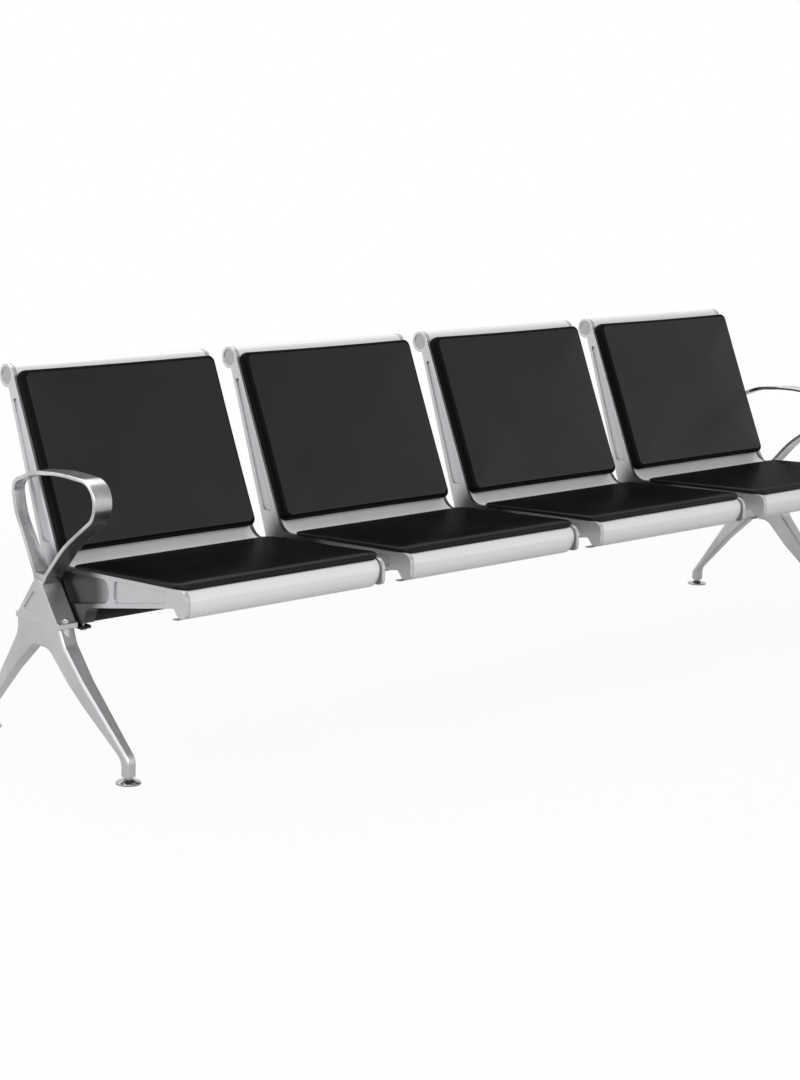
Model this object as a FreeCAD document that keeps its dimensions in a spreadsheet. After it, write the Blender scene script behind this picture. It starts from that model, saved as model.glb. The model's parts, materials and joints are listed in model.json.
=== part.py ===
import FreeCAD, Part

import math
import os
import re
from typing import NamedTuple

import Sketcher

# A four seat reception bench: bent sheet seats between cast side frames on a triangular beam,
# which rests on two cast legs with closed arm loops. X runs along the beam, -Y is the front,
# Z is up, and the origin lies on the floor under the middle of the bench.

# Driving dimensions, in millimetres and degrees
SIZES = {
    "the row of seats": {
        "seat_count": 4,
        "seat_pitch": 580,
        "module_width": 509,
    },
    "bent seat sheet, measured on the face that carries the pads": {
        "sheet_thickness": 2,
        "sheet_side_gap": 0.3,
        "knee_y": 86.5,
        "knee_z": 381.3,
        "knee_radius": 40,
        "seat_rise": 3.4,
        "recline": 24.4,
        "back_length": 408,
        "roll_radius": 24,
        "roll_end_angle": -75,
        "nose_y": -320.5,
        "nose_bottom": 339.5,
        "nose_upper_radius": 22,
        "nose_lower_radius": 42,
        "nose_lip": 6,
    },
    "upholstered pads": {
        "seat_pad_width": 512,
        "seat_pad_length": 356,
        "seat_pad_gap": 37.6,
        "seat_pad_thickness": 22,
        "seat_pad_corner": 24,
        "back_pad_width": 487,
        "back_pad_length": 377,
        "back_pad_gap": 27.7,
        "back_pad_thickness": 25,
        "back_pad_corner": 14,
        "pad_tuck": 3,
        "pad_crown": 4,
        "board_thickness": 9,
        "board_inset": 5,
        "board_gap": 0.3,
    },
    "cast side frames": {
        "rim_width": 9,
        "frame_depth": 28,
        "web_thickness": 12,
        "shelf_thickness": 4,
        "hook_y": -326,
        "hook_bottom": 350.5,
        "hook_radius": 20,
        "under_start": 373,
        "under_angle": 10.9,
        "hub_front_y": 8,
        "hub_rear_y": 184,
        "hub_foot_z": 276,
        "hub_arch_y": -8,
        "neck_y": 137,
        "neck_z": 361,
        "rear_angle": 20.1,
        "recess_depth": 4,
        "knee_recess_depth": 8,
        "recess_border": 9,
    },
    "beam": {
        "beam_y": 92,
        "beam_bottom": 268,
        "beam_half": 70,
        "beam_flank": 36.87,
        "beam_wall": 2.5,
        "beam_corner": 10,
        "beam_crest": 14,
        "beam_end_gap": 0.5,
        "beam_fit": 0.3,
    },
    "clamps under the side frames": {
        "clamp_length": 156,
        "clamp_thickness": 5,
        "clamp_bolt_spread": 132,
        "clamp_bolt_radius": 4,
        "clamp_bolt_grip": 20,
        "clamp_head_radius": 7,
        "clamp_head_height": 4.5,
    },
    "legs": {
        "leg_x": 1153,
        "leg_width": 40,
        "ankle_width": 23,
        "leg_top_front": 22,
        "leg_top_rear": 169,
        "front_foot_y": -187,
        "rear_foot_y": 302,
        "ankle_bottom": 14,
        "arch_crown": 220,
        "leg_edge_radius": 6,
    },
    "saddles over the beam ends": {
        "saddle_width": 45,
        "saddle_wall": 6,
        "saddle_end_wall": 7,
        "flange_half": 76,
        "flange_thickness": 12,
        "saddle_recess": 3,
        "leg_screw_spread": 137,
        "leg_screw_radius": 4,
        "leg_screw_length": 30,
        "leg_screw_head_radius": 6.5,
        "leg_screw_head_height": 8,
        "leg_boss_radius": 8.5,
        "leg_boss_height": 28,
    },
    "arm loops": {
        "arm_width": 45,
        "arm_rear_width": 26,
        "arm_thickness": 8,
        "arm_edge": 3.5,
        "arm_top_z": 582.5,
        "arm_front_y": -97,
        "arm_rear_y": 196,
        "arm_front_radius": 43,
        "arm_rear_radius": 27,
        "arm_foot_height": 16,
        "arm_bolt_radius": 5,
        "arm_bolt_grip": 16,
        "arm_bolt_head_radius": 8,
        "arm_bolt_head_height": 8,
        "arm_bolt_sink": 12,
    },
    "levelling feet": {
        "foot_radius": 25,
        "foot_rim": 3,
        "foot_height": 8.5,
        "foot_neck_radius": 9,
        "stem_radius": 5,
        "stem_grip": 34,
        "collar_radius": 8,
        "collar_gap": 0.3,
        "socket_depth": 5,
        "thread_gap": 0.2,
    },
    "pad screws": {
        "pad_screw_x": 232,
        "seat_screw_front": 330,
        "seat_screw_rear": 90,
        "back_screw_low": 75,
        "back_screw_high": 305,
        "pad_screw_radius": 2.5,
        "pad_screw_head_radius": 5,
        "pad_screw_head_height": 2.5,
        "pad_screw_bite": 7,
    },
}

doc = FreeCAD.newDocument("ReceptionBench")
sheet = doc.addObject("Spreadsheet::Sheet", "Sizes")


def fill_sheet() -> set:
    """Write every driving dimension into the sheet, one named cell each."""
    names = set()
    row = 1
    for group, entries in SIZES.items():
        sheet.set(f"A{row}", group)
        row += 1
        for name, number in entries.items():
            sheet.set(f"A{row}", name)
            sheet.set(f"B{row}", str(number))
            sheet.setAlias(f"B{row}", name)
            names.add(name)
            row += 1
    doc.recompute()
    return names


ALIASES = fill_sheet()


def value(formula) -> float:
    """The number that a formula of sheet names gives."""
    return float(sheet.evalExpression(str(formula)))


def bind(target, where: str, formula) -> None:
    """Tie a property of an object to a formula of sheet names."""
    linked = re.sub(r"[a-z_]+", lambda word: f"Sizes.{word[0]}" if word[0] in ALIASES else word[0], str(formula))
    target.setExpression(where, linked)


# Lines that several pieces share, as formulas of sheet names

def seat_line(y, below=0) -> str:
    """Height of the seat face at y, moved down square to itself by below."""
    return f"(knee_z + (knee_y - ({y})) * tan(seat_rise) - ({below}) / cos(seat_rise))"


def back_line(z, behind=0) -> str:
    """Y of the backrest face at height z, moved back square to itself by behind."""
    return f"(knee_y + (({z}) - knee_z) * tan(recline) + ({behind}) / cos(recline))"


def knee_corner(under) -> tuple:
    """Where the seat and back lines meet when both are moved under the sheet."""
    shift = f"({under}) * (1 / cos(recline) - tan(recline) / cos(seat_rise)) / (1 + tan(seat_rise) * tan(recline))"
    y = f"(knee_y + {shift})"
    return y, seat_line(y, under)


def back_point(along, behind=0) -> tuple:
    """A point at a distance up the back from the knee, and behind the face."""
    y = f"(knee_y + ({along}) * sin(recline) + ({behind}) * cos(recline))"
    z = f"(knee_z + ({along}) * cos(recline) - ({behind}) * sin(recline))"
    return y, z


def under_line(y, above=0) -> str:
    """Height of the lower edge of a side frame's seat arm at y."""
    return f"(under_start - (({y}) - hook_y) * tan(under_angle) + ({above}) / cos(under_angle))"


def rear_line(z, inside=0) -> str:
    """Y of the rear edge of a side frame's upright at height z."""
    return f"(neck_y + (({z}) - neck_z) * tan(rear_angle) - ({inside}) / cos(rear_angle))"


def beam_apex(out=0) -> str:
    """Height where the beam's two flanks meet, moved outwards by out."""
    return f"(beam_bottom + beam_half / tan(beam_flank) + ({out}) / sin(beam_flank))"


def flank(z, out=0) -> str:
    """Half width between the beam's flanks at height z, moved outwards by out."""
    return f"(({beam_apex(out)} - ({z})) * tan(beam_flank))"


ROLL_CENTRE = back_point("back_length", "roll_radius")
MODULE_EDGE = "module_width / 2"
SHEET_HALF = "(module_width / 2 - rim_width - sheet_side_gap)"
BEAM_END = "(leg_x + saddle_width / 2 - saddle_end_wall - beam_end_gap)"
FLANGE_TOP = "(beam_bottom + flange_thickness)"


class Corner(NamedTuple):
    """One corner of an outline: its place, as formulas, and its rounding radius."""

    u: str
    v: str
    radius: str = "0"


def corner(u, v, radius=0) -> Corner:
    """A corner from formulas or plain numbers."""
    return Corner(str(u), str(v), str(radius))


# Sketch helpers

def add_sketch(body, role: str, name: str, offset="0"):
    """A sketch on one of a body's own origin planes, moved along its normal."""
    plane = next(item for item in body.Origin.OriginFeatures if item.Role == role)
    sketch = body.newObject("Sketcher::SketchObject", name)
    sketch.AttachmentSupport = [(plane, "")]
    sketch.MapMode = "FlatFace"
    bind(sketch, "AttachmentOffset.Base.z", offset)
    return sketch


def add_tilted_sketch(body, name: str, tilt: str, height="0"):
    """A sketch through the knee line whose plane turns about X and rises along its normal."""
    sketch = add_sketch(body, "XY_Plane", name)
    sketch.AttachmentOffset = FreeCAD.Placement(FreeCAD.Vector(), FreeCAD.Rotation(FreeCAD.Vector(1, 0, 0), 10))
    bind(sketch, "AttachmentOffset.Rotation.Angle", tilt)
    bind(sketch, "AttachmentOffset.Base.y", f"knee_y - ({height}) * sin({tilt})")
    bind(sketch, "AttachmentOffset.Base.z", f"knee_z + ({height}) * cos({tilt})")
    return sketch


SEAT_TILT = "(0 - seat_rise)"
BACK_TILT = "(90 - recline)"


class Bend(NamedTuple):
    """The round stretch at a corner: where it starts and ends, its centre and its turn."""

    start: FreeCAD.Vector
    end: FreeCAD.Vector
    centre: FreeCAD.Vector
    turns_left: bool


def find_bend(before, here, after, radius: float) -> Bend:
    """The arc of one radius that touches both lines of a corner."""
    arriving = (here - before).normalize()
    leaving = (after - here).normalize()
    turn = arriving.getAngle(leaving)
    reach = radius * math.tan(turn / 2)
    left = arriving.x * leaving.y - arriving.y * leaving.x > 0
    side = FreeCAD.Vector(-arriving.y, arriving.x, 0) * (1 if left else -1)
    start = here - arriving * reach
    return Bend(start, here + leaving * reach, start + side * radius, left)


def arc_between(bend: Bend, radius: float) -> Part.ArcOfCircle:
    """The arc of a bend, which always runs anticlockwise."""
    first, last = (bend.start, bend.end) if bend.turns_left else (bend.end, bend.start)
    circle = Part.Circle(bend.centre, FreeCAD.Vector(0, 0, 1), radius)
    start_angle = math.atan2(first.y - bend.centre.y, first.x - bend.centre.x)
    end_angle = math.atan2(last.y - bend.centre.y, last.x - bend.centre.x)
    return Part.ArcOfCircle(circle, start_angle, end_angle)


class Outline:
    """Draws lines with rounded corners in a sketch, each corner tied to its formulas."""

    def __init__(self, sketch) -> None:
        self.sketch = sketch
        self.rules = []
        self.links = []

    def tie(self, constraint, formula) -> None:
        """Note a dimension together with the formula that drives it."""
        self.links.append((len(self.rules), formula))
        self.rules.append(constraint)

    def place_point(self, shape: int, end: int, u: str, v: str) -> None:
        """Fix a point of a shape at two formulas."""
        self.tie(Sketcher.Constraint("DistanceX", shape, end, value(u)), u)
        self.tie(Sketcher.Constraint("DistanceY", shape, end, value(v)), v)

    def draw(self, corners: list, closed: bool = True) -> None:
        """Draw one chain of lines, closed on itself or open."""
        points = [FreeCAD.Vector(value(item.u), value(item.v), 0) for item in corners]
        radii = [value(item.radius) for item in corners]
        count = len(corners)
        bends = {}
        for index in range(count):
            if radii[index] > 0:
                after = points[(index + 1) % count]
                bends[index] = find_bend(points[index - 1], points[index], after, radii[index])
        line_count = count if closed else count - 1
        lines = []
        for index in range(line_count):
            nearest = (index + 1) % count
            start = bends[index].end if index in bends else points[index]
            end = bends[nearest].start if nearest in bends else points[nearest]
            lines.append(self.sketch.addGeometry(Part.LineSegment(start, end), False))
        for index in range(count):
            self.join(corners[index], points[index], radii[index], bends.get(index), index, lines, closed)

    def join(self, spot, point, radius, bend, index, lines, closed) -> None:
        """Join the two lines of a corner, by a point or by an arc."""
        if not closed and index == 0:
            self.place_point(lines[0], 1, spot.u, spot.v)
            return
        if not closed and index == len(lines):
            self.place_point(lines[-1], 2, spot.u, spot.v)
            return
        arriving = lines[index - 1]
        leaving = lines[index]
        if bend is None:
            self.rules.append(Sketcher.Constraint("Coincident", arriving, 2, leaving, 1))
            self.place_point(leaving, 1, spot.u, spot.v)
            return
        arc = self.sketch.addGeometry(arc_between(bend, radius), False)
        first, last = (1, 2) if bend.turns_left else (2, 1)
        mark = self.sketch.addGeometry(Part.Point(point), True)
        self.rules.extend([
            Sketcher.Constraint("Tangent", arriving, 2, arc, first),
            Sketcher.Constraint("Tangent", arc, last, leaving, 1),
            Sketcher.Constraint("PointOnObject", mark, 1, arriving),
            Sketcher.Constraint("PointOnObject", mark, 1, leaving),
        ])
        self.place_point(mark, 1, spot.u, spot.v)
        self.tie(Sketcher.Constraint("Radius", arc, radius), spot.radius)

    def circle(self, u, v, radius) -> None:
        """Draw a circle at two formulas."""
        centre = FreeCAD.Vector(value(u), value(v), 0)
        shape = Part.Circle(centre, FreeCAD.Vector(0, 0, 1), value(radius))
        index = self.sketch.addGeometry(shape, False)
        self.place_point(index, 3, u, v)
        self.tie(Sketcher.Constraint("Radius", index, value(radius)), radius)

    def ring_sector(self, u, v, outer, inner, start_angle, end_angle) -> None:
        """Draw a curled strip: two arcs about one centre, closed by two radial lines."""
        centre = FreeCAD.Vector(value(u), value(v), 0)
        up = FreeCAD.Vector(0, 0, 1)
        angles = [math.radians(value(start_angle)), math.radians(value(end_angle))]
        arcs = []
        for radius in (outer, inner):
            circle = Part.Circle(centre, up, value(radius))
            arcs.append(self.sketch.addGeometry(Part.ArcOfCircle(circle, *angles), False))
        for end, angle in enumerate((start_angle, end_angle), start=1):
            places = []
            for radius in (outer, inner):
                at = math.radians(value(angle))
                places.append(centre + FreeCAD.Vector(math.cos(at), math.sin(at), 0) * value(radius))
            line = self.sketch.addGeometry(Part.LineSegment(*places), False)
            self.rules.extend([
                Sketcher.Constraint("Coincident", line, 1, arcs[0], end),
                Sketcher.Constraint("Coincident", line, 2, arcs[1], end),
            ])
            self.place_point(line, 1, f"({u}) + ({outer}) * cos({angle})", f"({v}) + ({outer}) * sin({angle})")
            self.place_point(line, 2, f"({u}) + ({inner}) * cos({angle})", f"({v}) + ({inner}) * sin({angle})")

    def finish(self):
        """Add every rule to the sketch and bind its dimensions to the sheet."""
        self.sketch.addConstraint(self.rules)
        for index, formula in self.links:
            bind(self.sketch, f"Constraints[{index}]", formula)
        return self.sketch


def draw_loops(sketch, *loops):
    """Fill a sketch with closed outlines."""
    outline = Outline(sketch)
    for loop in loops:
        outline.draw(loop)
    return outline.finish()


def draw_circles(sketch, *circles):
    """Fill a sketch with circles, each (u, v, radius)."""
    outline = Outline(sketch)
    for u, v, radius in circles:
        outline.circle(u, v, radius)
    return outline.finish()


# Feature helpers

def new_body(label: str, x="0", y="0", z="0", tilt="0"):
    """A body with its own label, placed by formulas and turned about X."""
    body = doc.addObject("PartDesign::Body", label)
    body.Label = label
    body.Placement = FreeCAD.Placement(FreeCAD.Vector(), FreeCAD.Rotation(FreeCAD.Vector(1, 0, 0), 10))
    bind(body, "Placement.Rotation.Angle", tilt)
    bind(body, "Placement.Base.x", x)
    bind(body, "Placement.Base.y", y)
    bind(body, "Placement.Base.z", z)
    return body


def clone_body(source, label: str, x="0", y="0", z="0", tilt="0"):
    """A body that repeats another one at its own place."""
    body = new_body(label, x, y, z, tilt)
    copy = body.newObject("PartDesign::FeatureBase", f"{label}_copy")
    copy.BaseFeature = source
    body.Tip = copy
    return body


def pad(body, sketch, length, symmetric: bool = False, reverse: bool = False):
    """Add material along a sketch's normal."""
    feature = body.newObject("PartDesign::Pad", f"{sketch.Name}_pad")
    feature.Profile = sketch
    feature.SideType = "Symmetric" if symmetric else "One side"
    feature.Reversed = reverse
    bind(feature, "Length", length)
    return feature


def pocket(body, sketch, length, symmetric: bool = False, along_normal: bool = True):
    """Cut material along a sketch's normal, against it, or both ways."""
    feature = body.newObject("PartDesign::Pocket", f"{sketch.Name}_pocket")
    feature.Profile = sketch
    feature.SideType = "Symmetric" if symmetric else "One side"
    feature.Reversed = along_normal
    bind(feature, "Length", length)
    return feature


def revolve(body, sketch):
    """Turn a profile about the vertical axis of its sketch."""
    feature = body.newObject("PartDesign::Revolution", f"{sketch.Name}_turn")
    feature.Profile = sketch
    feature.ReferenceAxis = (sketch, ["V_Axis"])
    feature.Angle = 360
    return feature


THROUGH = "4000"


# The beam

def beam_triangle(grow=0) -> list:
    """The beam's rounded triangle, grown square to its faces."""
    bottom = f"beam_bottom - ({grow})"
    half = flank(bottom, grow)
    return [
        corner(f"beam_y - {half}", bottom, f"beam_corner + ({grow})"),
        corner(f"beam_y + {half}", bottom, f"beam_corner + ({grow})"),
        corner("beam_y", beam_apex(grow), f"beam_crest + ({grow})"),
    ]


def make_beam() -> None:
    """The triangular tube that carries every seat, drilled for the arm bolts."""
    body = new_body("beam")
    section = add_sketch(body, "YZ_Plane", "beam_section")
    draw_loops(section, beam_triangle(), beam_triangle("0 - beam_wall"))
    pad(body, section, f"2 * {BEAM_END}", symmetric=True)
    holes = add_sketch(body, "XY_Plane", "beam_holes")
    draw_circles(
        holes,
        ("leg_x", "beam_y", "arm_bolt_radius + thread_gap"),
        ("0 - leg_x", "beam_y", "arm_bolt_radius + thread_gap"),
    )
    pocket(body, holes, THROUGH, symmetric=True)


# One seat: sheet, pads, side frames and clamps

def seat_x(index: int) -> str:
    """X of one seat's middle."""
    return f"(({index}) - (seat_count - 1) / 2) * seat_pitch"


def screw_places() -> list:
    """Where the pad screws stand, as (tilt, along the face, is on the back)."""
    return [
        (SEAT_TILT, "0 - seat_screw_front"),
        (SEAT_TILT, "0 - seat_screw_rear"),
        (BACK_TILT, "back_screw_low"),
        (BACK_TILT, "back_screw_high"),
    ]


def drill_for_screws(body, tag: str, sides: tuple) -> None:
    """Cut the pad screws' holes square to the seat and to the back."""
    for tilt, name in ((SEAT_TILT, "seat"), (BACK_TILT, "back")):
        sketch = add_tilted_sketch(body, f"{tag}_{name}_holes", tilt)
        circles = []
        for place_tilt, along in screw_places():
            if place_tilt == tilt:
                for side in sides:
                    circles.append((f"{side} * pad_screw_x", along, "pad_screw_radius + thread_gap"))
        draw_circles(sketch, *circles)
        pocket(body, sketch, "2 * (sheet_thickness + shelf_thickness) + 4", symmetric=True)


def make_seat_sheet(label: str, x: str):
    """Seat and back bent from one sheet, curled over at the top and under at the front."""
    body = new_body(label, x)
    lip = "nose_y + nose_lower_radius + nose_lip"
    inner_nose = "nose_y + sheet_thickness"
    strip = [
        corner(lip, "nose_bottom"),
        corner("nose_y", "nose_bottom", "nose_lower_radius"),
        corner("nose_y", seat_line("nose_y"), "nose_upper_radius"),
        corner("knee_y", "knee_z", "knee_radius"),
        corner(*back_point("back_length")),
        corner(*back_point("back_length", "sheet_thickness")),
        corner(*knee_corner("sheet_thickness"), "knee_radius + sheet_thickness"),
        corner(inner_nose, seat_line(inner_nose, "sheet_thickness"), "nose_upper_radius - sheet_thickness"),
        corner(inner_nose, "nose_bottom + sheet_thickness", "nose_lower_radius - sheet_thickness"),
        corner(lip, "nose_bottom + sheet_thickness"),
    ]
    section = add_sketch(body, "YZ_Plane", "sheet_strip")
    draw_loops(section, strip)
    pad(body, section, f"2 * {SHEET_HALF}", symmetric=True)
    curl = add_sketch(body, "YZ_Plane", "sheet_curl")
    outline = Outline(curl)
    outline.ring_sector(
        *ROLL_CENTRE, "roll_radius", "roll_radius - sheet_thickness", "roll_end_angle", "180 - recline"
    )
    outline.finish()
    pad(body, curl, f"2 * {SHEET_HALF}", symmetric=True)
    drill_for_screws(body, "sheet", (-1, 1))
    return body


def rounded_rectangle(width, low, high, radius) -> list:
    """A rectangle about X = 0 with rounded corners."""
    return [
        corner(f"0 - ({width}) / 2", low, radius),
        corner(f"({width}) / 2", low, radius),
        corner(f"({width}) / 2", high, radius),
        corner(f"0 - ({width}) / 2", high, radius),
    ]


def make_pad(label: str, kind: str, x: str, tilt: str, low: str):
    """An upholstered pad: sides drawn in under a full waist, and a crowned top."""
    body = new_body(label, x, "knee_y", "knee_z", tilt)
    width = f"{kind}_pad_width"
    high = f"({low}) + {kind}_pad_length"
    radius = f"{kind}_pad_corner"
    thickness = f"{kind}_pad_thickness"
    levels = [
        ("0", "pad_tuck"),
        (f"{thickness} * 0.36", "0"),
        (f"{thickness} * 0.7", "pad_tuck * 0.7"),
        (f"{thickness} - pad_crown", "pad_tuck * 3.4"),
    ]
    sections = []
    for step, (height, inset) in enumerate(levels):
        sketch = add_sketch(body, "XY_Plane", f"{label}_level_{step}", height)
        loop = rounded_rectangle(f"{width} - 2 * ({inset})", f"({low}) + ({inset})", f"{high} - ({inset})", radius)
        sections.append(draw_loops(sketch, loop))
    loft = body.newObject("PartDesign::AdditiveLoft", f"{label}_side")
    loft.Profile = sections[0]
    loft.Sections = sections[1:]
    loft.Ruled = False
    crown_inset = "pad_tuck * 3.4"
    crown_levels = [("pad_crown", crown_inset), ("0", f"{kind}_pad_length * 0.3")]
    crown = []
    for step, (drop, inset) in enumerate(crown_levels):
        sketch = add_sketch(body, "XY_Plane", f"{label}_crown_{step}", f"{thickness} - ({drop})")
        loop = rounded_rectangle(f"{width} - 2 * ({inset})", f"({low}) + ({inset})", f"{high} - ({inset})", radius)
        crown.append(draw_loops(sketch, loop))
    dome = body.newObject("PartDesign::AdditiveLoft", f"{label}_dome")
    dome.Profile = crown[0]
    dome.Sections = crown[1:]
    dome.Ruled = True
    recess = add_sketch(body, "XY_Plane", f"{label}_board_space")
    inset = "board_inset - board_gap"
    loop = rounded_rectangle(f"{width} - 2 * ({inset})", f"({low}) + ({inset})", f"{high} - ({inset})", radius)
    draw_loops(recess, loop)
    pocket(body, recess, "board_thickness + board_gap")
    return body


def make_board(label: str, kind: str, x: str, tilt: str, low: str):
    """The plywood board inside a pad, drilled for its screws."""
    body = new_body(label, x, "knee_y", "knee_z", tilt)
    width = f"{kind}_pad_width - 2 * board_inset"
    first = f"({low}) + board_inset"
    last = f"({low}) + {kind}_pad_length - board_inset"
    sketch = add_sketch(body, "XY_Plane", f"{label}_outline")
    draw_loops(sketch, rounded_rectangle(width, first, last, f"{kind}_pad_corner - board_gap"))
    pad(body, sketch, "board_thickness")
    holes = add_sketch(body, "XY_Plane", f"{label}_holes")
    circles = []
    for place_tilt, along in screw_places():
        if place_tilt == tilt:
            for side in (-1, 1):
                circles.append((f"{side} * pad_screw_x", along, "pad_screw_radius + thread_gap"))
    draw_circles(holes, *circles)
    pocket(body, holes, "pad_screw_bite + thread_gap")
    return body


def frame_tail() -> list:
    """The lower and rear edges that a side frame's rim and inner body share."""
    foot_flank = flank("hub_foot_z", "beam_fit")
    return [
        corner("hook_y + 39", under_line("hook_y + 39"), 6),
        corner("hub_arch_y", under_line("hub_arch_y"), 25),
        corner("hub_front_y", "hub_foot_z", 4),
        corner(f"beam_y - {foot_flank}", "hub_foot_z"),
        corner("beam_y", beam_apex("beam_fit"), "beam_crest + beam_fit"),
        corner(f"beam_y + {foot_flank}", "hub_foot_z"),
        corner("hub_rear_y", "hub_foot_z", 4),
        corner("hub_rear_y", "hub_foot_z + 19", 8),
        corner("neck_y", "neck_z", 20),
        corner(rear_line(f"{ROLL_CENTRE[1]} - 67"), f"{ROLL_CENTRE[1]} - 67", 60),
        corner(f"{ROLL_CENTRE[0]} - 7", f"{ROLL_CENTRE[1]} - 21"),
    ]


def rim_outline() -> list:
    """A side frame's rim, flush with the sheet's upper face, hooked at the front."""
    return [
        corner(*ROLL_CENTRE),
        corner(*back_point("back_length")),
        corner("knee_y", "knee_z", "knee_radius"),
        corner("hook_y", seat_line("hook_y"), "hook_radius"),
        corner("hook_y", "hook_bottom", 12),
        corner("hook_y + 25", "hook_bottom", 6),
    ] + frame_tail()


def body_outline() -> list:
    """The inner body of a side frame, one sheet thickness under the rim."""
    front = "nose_y + 20"
    return [
        corner(*ROLL_CENTRE),
        corner(*back_point("back_length", "sheet_thickness")),
        corner(*knee_corner("sheet_thickness"), "knee_radius + sheet_thickness - 1"),
        corner(front, seat_line(front, "sheet_thickness"), 3),
        corner(front, under_line(front, 3), 3),
    ] + frame_tail()


def inner_pockets() -> list:
    """The hollows on a side frame's inner face, which leave a shelf and a lower flange."""
    shelf = "sheet_thickness + shelf_thickness"
    front = "nose_y + 28"
    hub = "hub_arch_y + 58"
    top = f"({ROLL_CENTRE[1]} - 53)"
    low = "(knee_z + 19)"
    return [
        [
            corner(front, seat_line(front, shelf), 3),
            corner(front, under_line(front, 5), 3),
            corner(hub, under_line(hub, 5), 8),
            corner(f"{hub} + 50", seat_line(f"{hub} + 50", shelf), 6),
        ],
        [
            corner(back_line(low, shelf), low, 6),
            corner(back_line(top, shelf), top, 4),
            corner(rear_line(top, 5), top, 4),
            corner(rear_line(low, 5), low, 6),
        ],
    ]


def outer_recesses() -> list:
    """The shallow panels on a side frame's outer face: along the arm and up the back."""
    front = "hook_y + 64"
    rear = "hook_y + 230"
    low = "(knee_z + 40)"
    top = f"({ROLL_CENTRE[1]} - 43)"
    return [
        [
            corner(front, seat_line(front, "recess_border"), 5),
            corner(front, under_line(front, "recess_border"), 5),
            corner(rear, under_line(rear, "recess_border"), 8),
            corner(rear, seat_line(rear, "recess_border"), 8),
        ],
        [
            corner(back_line(low, "recess_border"), low, 10),
            corner(back_line(top, "recess_border"), top, 5),
            corner(rear_line(top, "recess_border - 2"), top, 5),
            corner(rear_line(low, "recess_border"), low, 12),
        ],
    ]


def knee_recess() -> list:
    """The deep rounded recess on the outer face between the seat arm and the beam."""
    front = "hook_y + 246"
    return [
        corner(front, seat_line(front, "recess_border"), 22),
        corner(front, under_line(front, "recess_border"), 22),
        corner("hub_arch_y + 53", under_line("hub_arch_y + 53", "recess_border"), 10),
        corner("beam_y - 6", seat_line("beam_y - 6", "recess_border"), 6),
    ]


def make_side_frame(label: str, x: str, side: int):
    """One cast side frame, its rim outwards. side is -1 on the left and 1 on the right."""
    tag = "left" if side < 0 else "right"
    body = new_body(label, x)
    outer = f"{side} * {MODULE_EDGE}"
    shoulder = f"{side} * ({MODULE_EDGE} - rim_width)"
    inner = f"{side} * ({MODULE_EDGE} - frame_depth)"
    outwards = side > 0

    inner_body = add_sketch(body, "YZ_Plane", f"{tag}_body", inner)
    draw_loops(inner_body, body_outline())
    pad(body, inner_body, "frame_depth - rim_width", reverse=not outwards)
    plug = add_sketch(body, "YZ_Plane", f"{tag}_plug", inner)
    draw_circles(plug, (*ROLL_CENTRE, "roll_radius - sheet_thickness - sheet_side_gap"))
    pad(body, plug, "frame_depth - rim_width", reverse=not outwards)
    rim = add_sketch(body, "YZ_Plane", f"{tag}_rim", shoulder)
    draw_loops(rim, rim_outline())
    pad(body, rim, "rim_width", reverse=not outwards)
    disc = add_sketch(body, "YZ_Plane", f"{tag}_disc", shoulder)
    draw_circles(disc, (*ROLL_CENTRE, "roll_radius"))
    pad(body, disc, "rim_width", reverse=not outwards)

    hollows = add_sketch(body, "YZ_Plane", f"{tag}_hollows", inner)
    draw_loops(hollows, *inner_pockets())
    pocket(body, hollows, "frame_depth - web_thickness", along_normal=outwards)
    panels = add_sketch(body, "YZ_Plane", f"{tag}_panels", outer)
    draw_loops(panels, *outer_recesses())
    pocket(body, panels, "recess_depth", along_normal=not outwards)
    knee = add_sketch(body, "YZ_Plane", f"{tag}_knee", outer)
    draw_loops(knee, knee_recess())
    pocket(body, knee, "knee_recess_depth", along_normal=not outwards)
    dish = add_sketch(body, "YZ_Plane", f"{tag}_dish", outer)
    draw_circles(dish, (*ROLL_CENTRE, "roll_radius - 6"))
    pocket(body, dish, "1.5", along_normal=not outwards)

    taps = add_sketch(body, "XY_Plane", f"{tag}_taps", "hub_foot_z")
    middle = f"{side} * ({MODULE_EDGE} - frame_depth / 2)"
    draw_circles(
        taps,
        (middle, "beam_y - clamp_bolt_spread / 2", "clamp_bolt_radius + thread_gap"),
        (middle, "beam_y + clamp_bolt_spread / 2", "clamp_bolt_radius + thread_gap"),
    )
    pocket(body, taps, "clamp_bolt_grip + thread_gap")
    drill_for_screws(body, tag, (side,))
    return body


def make_clamp_plate(label: str, x: str, side: int):
    """The plate under the beam that draws a side frame down."""
    tag = "left" if side < 0 else "right"
    body = new_body(label, x)
    middle = f"{side} * ({MODULE_EDGE} - frame_depth / 2)"
    outline = add_sketch(body, "XY_Plane", f"{tag}_plate", "beam_bottom - clamp_thickness")
    low = "beam_y - clamp_length / 2"
    high = "beam_y + clamp_length / 2"
    draw_loops(outline, [
        corner(f"{middle} - frame_depth / 2", low, 6),
        corner(f"{middle} + frame_depth / 2", low, 6),
        corner(f"{middle} + frame_depth / 2", high, 6),
        corner(f"{middle} - frame_depth / 2", high, 6),
    ])
    pad(body, outline, "clamp_thickness")
    holes = add_sketch(body, "XY_Plane", f"{tag}_plate_holes", "beam_bottom")
    draw_circles(
        holes,
        (middle, "beam_y - clamp_bolt_spread / 2", "clamp_bolt_radius + thread_gap"),
        (middle, "beam_y + clamp_bolt_spread / 2", "clamp_bolt_radius + thread_gap"),
    )
    pocket(body, holes, "clamp_thickness", along_normal=False)
    return body


# Legs

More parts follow.
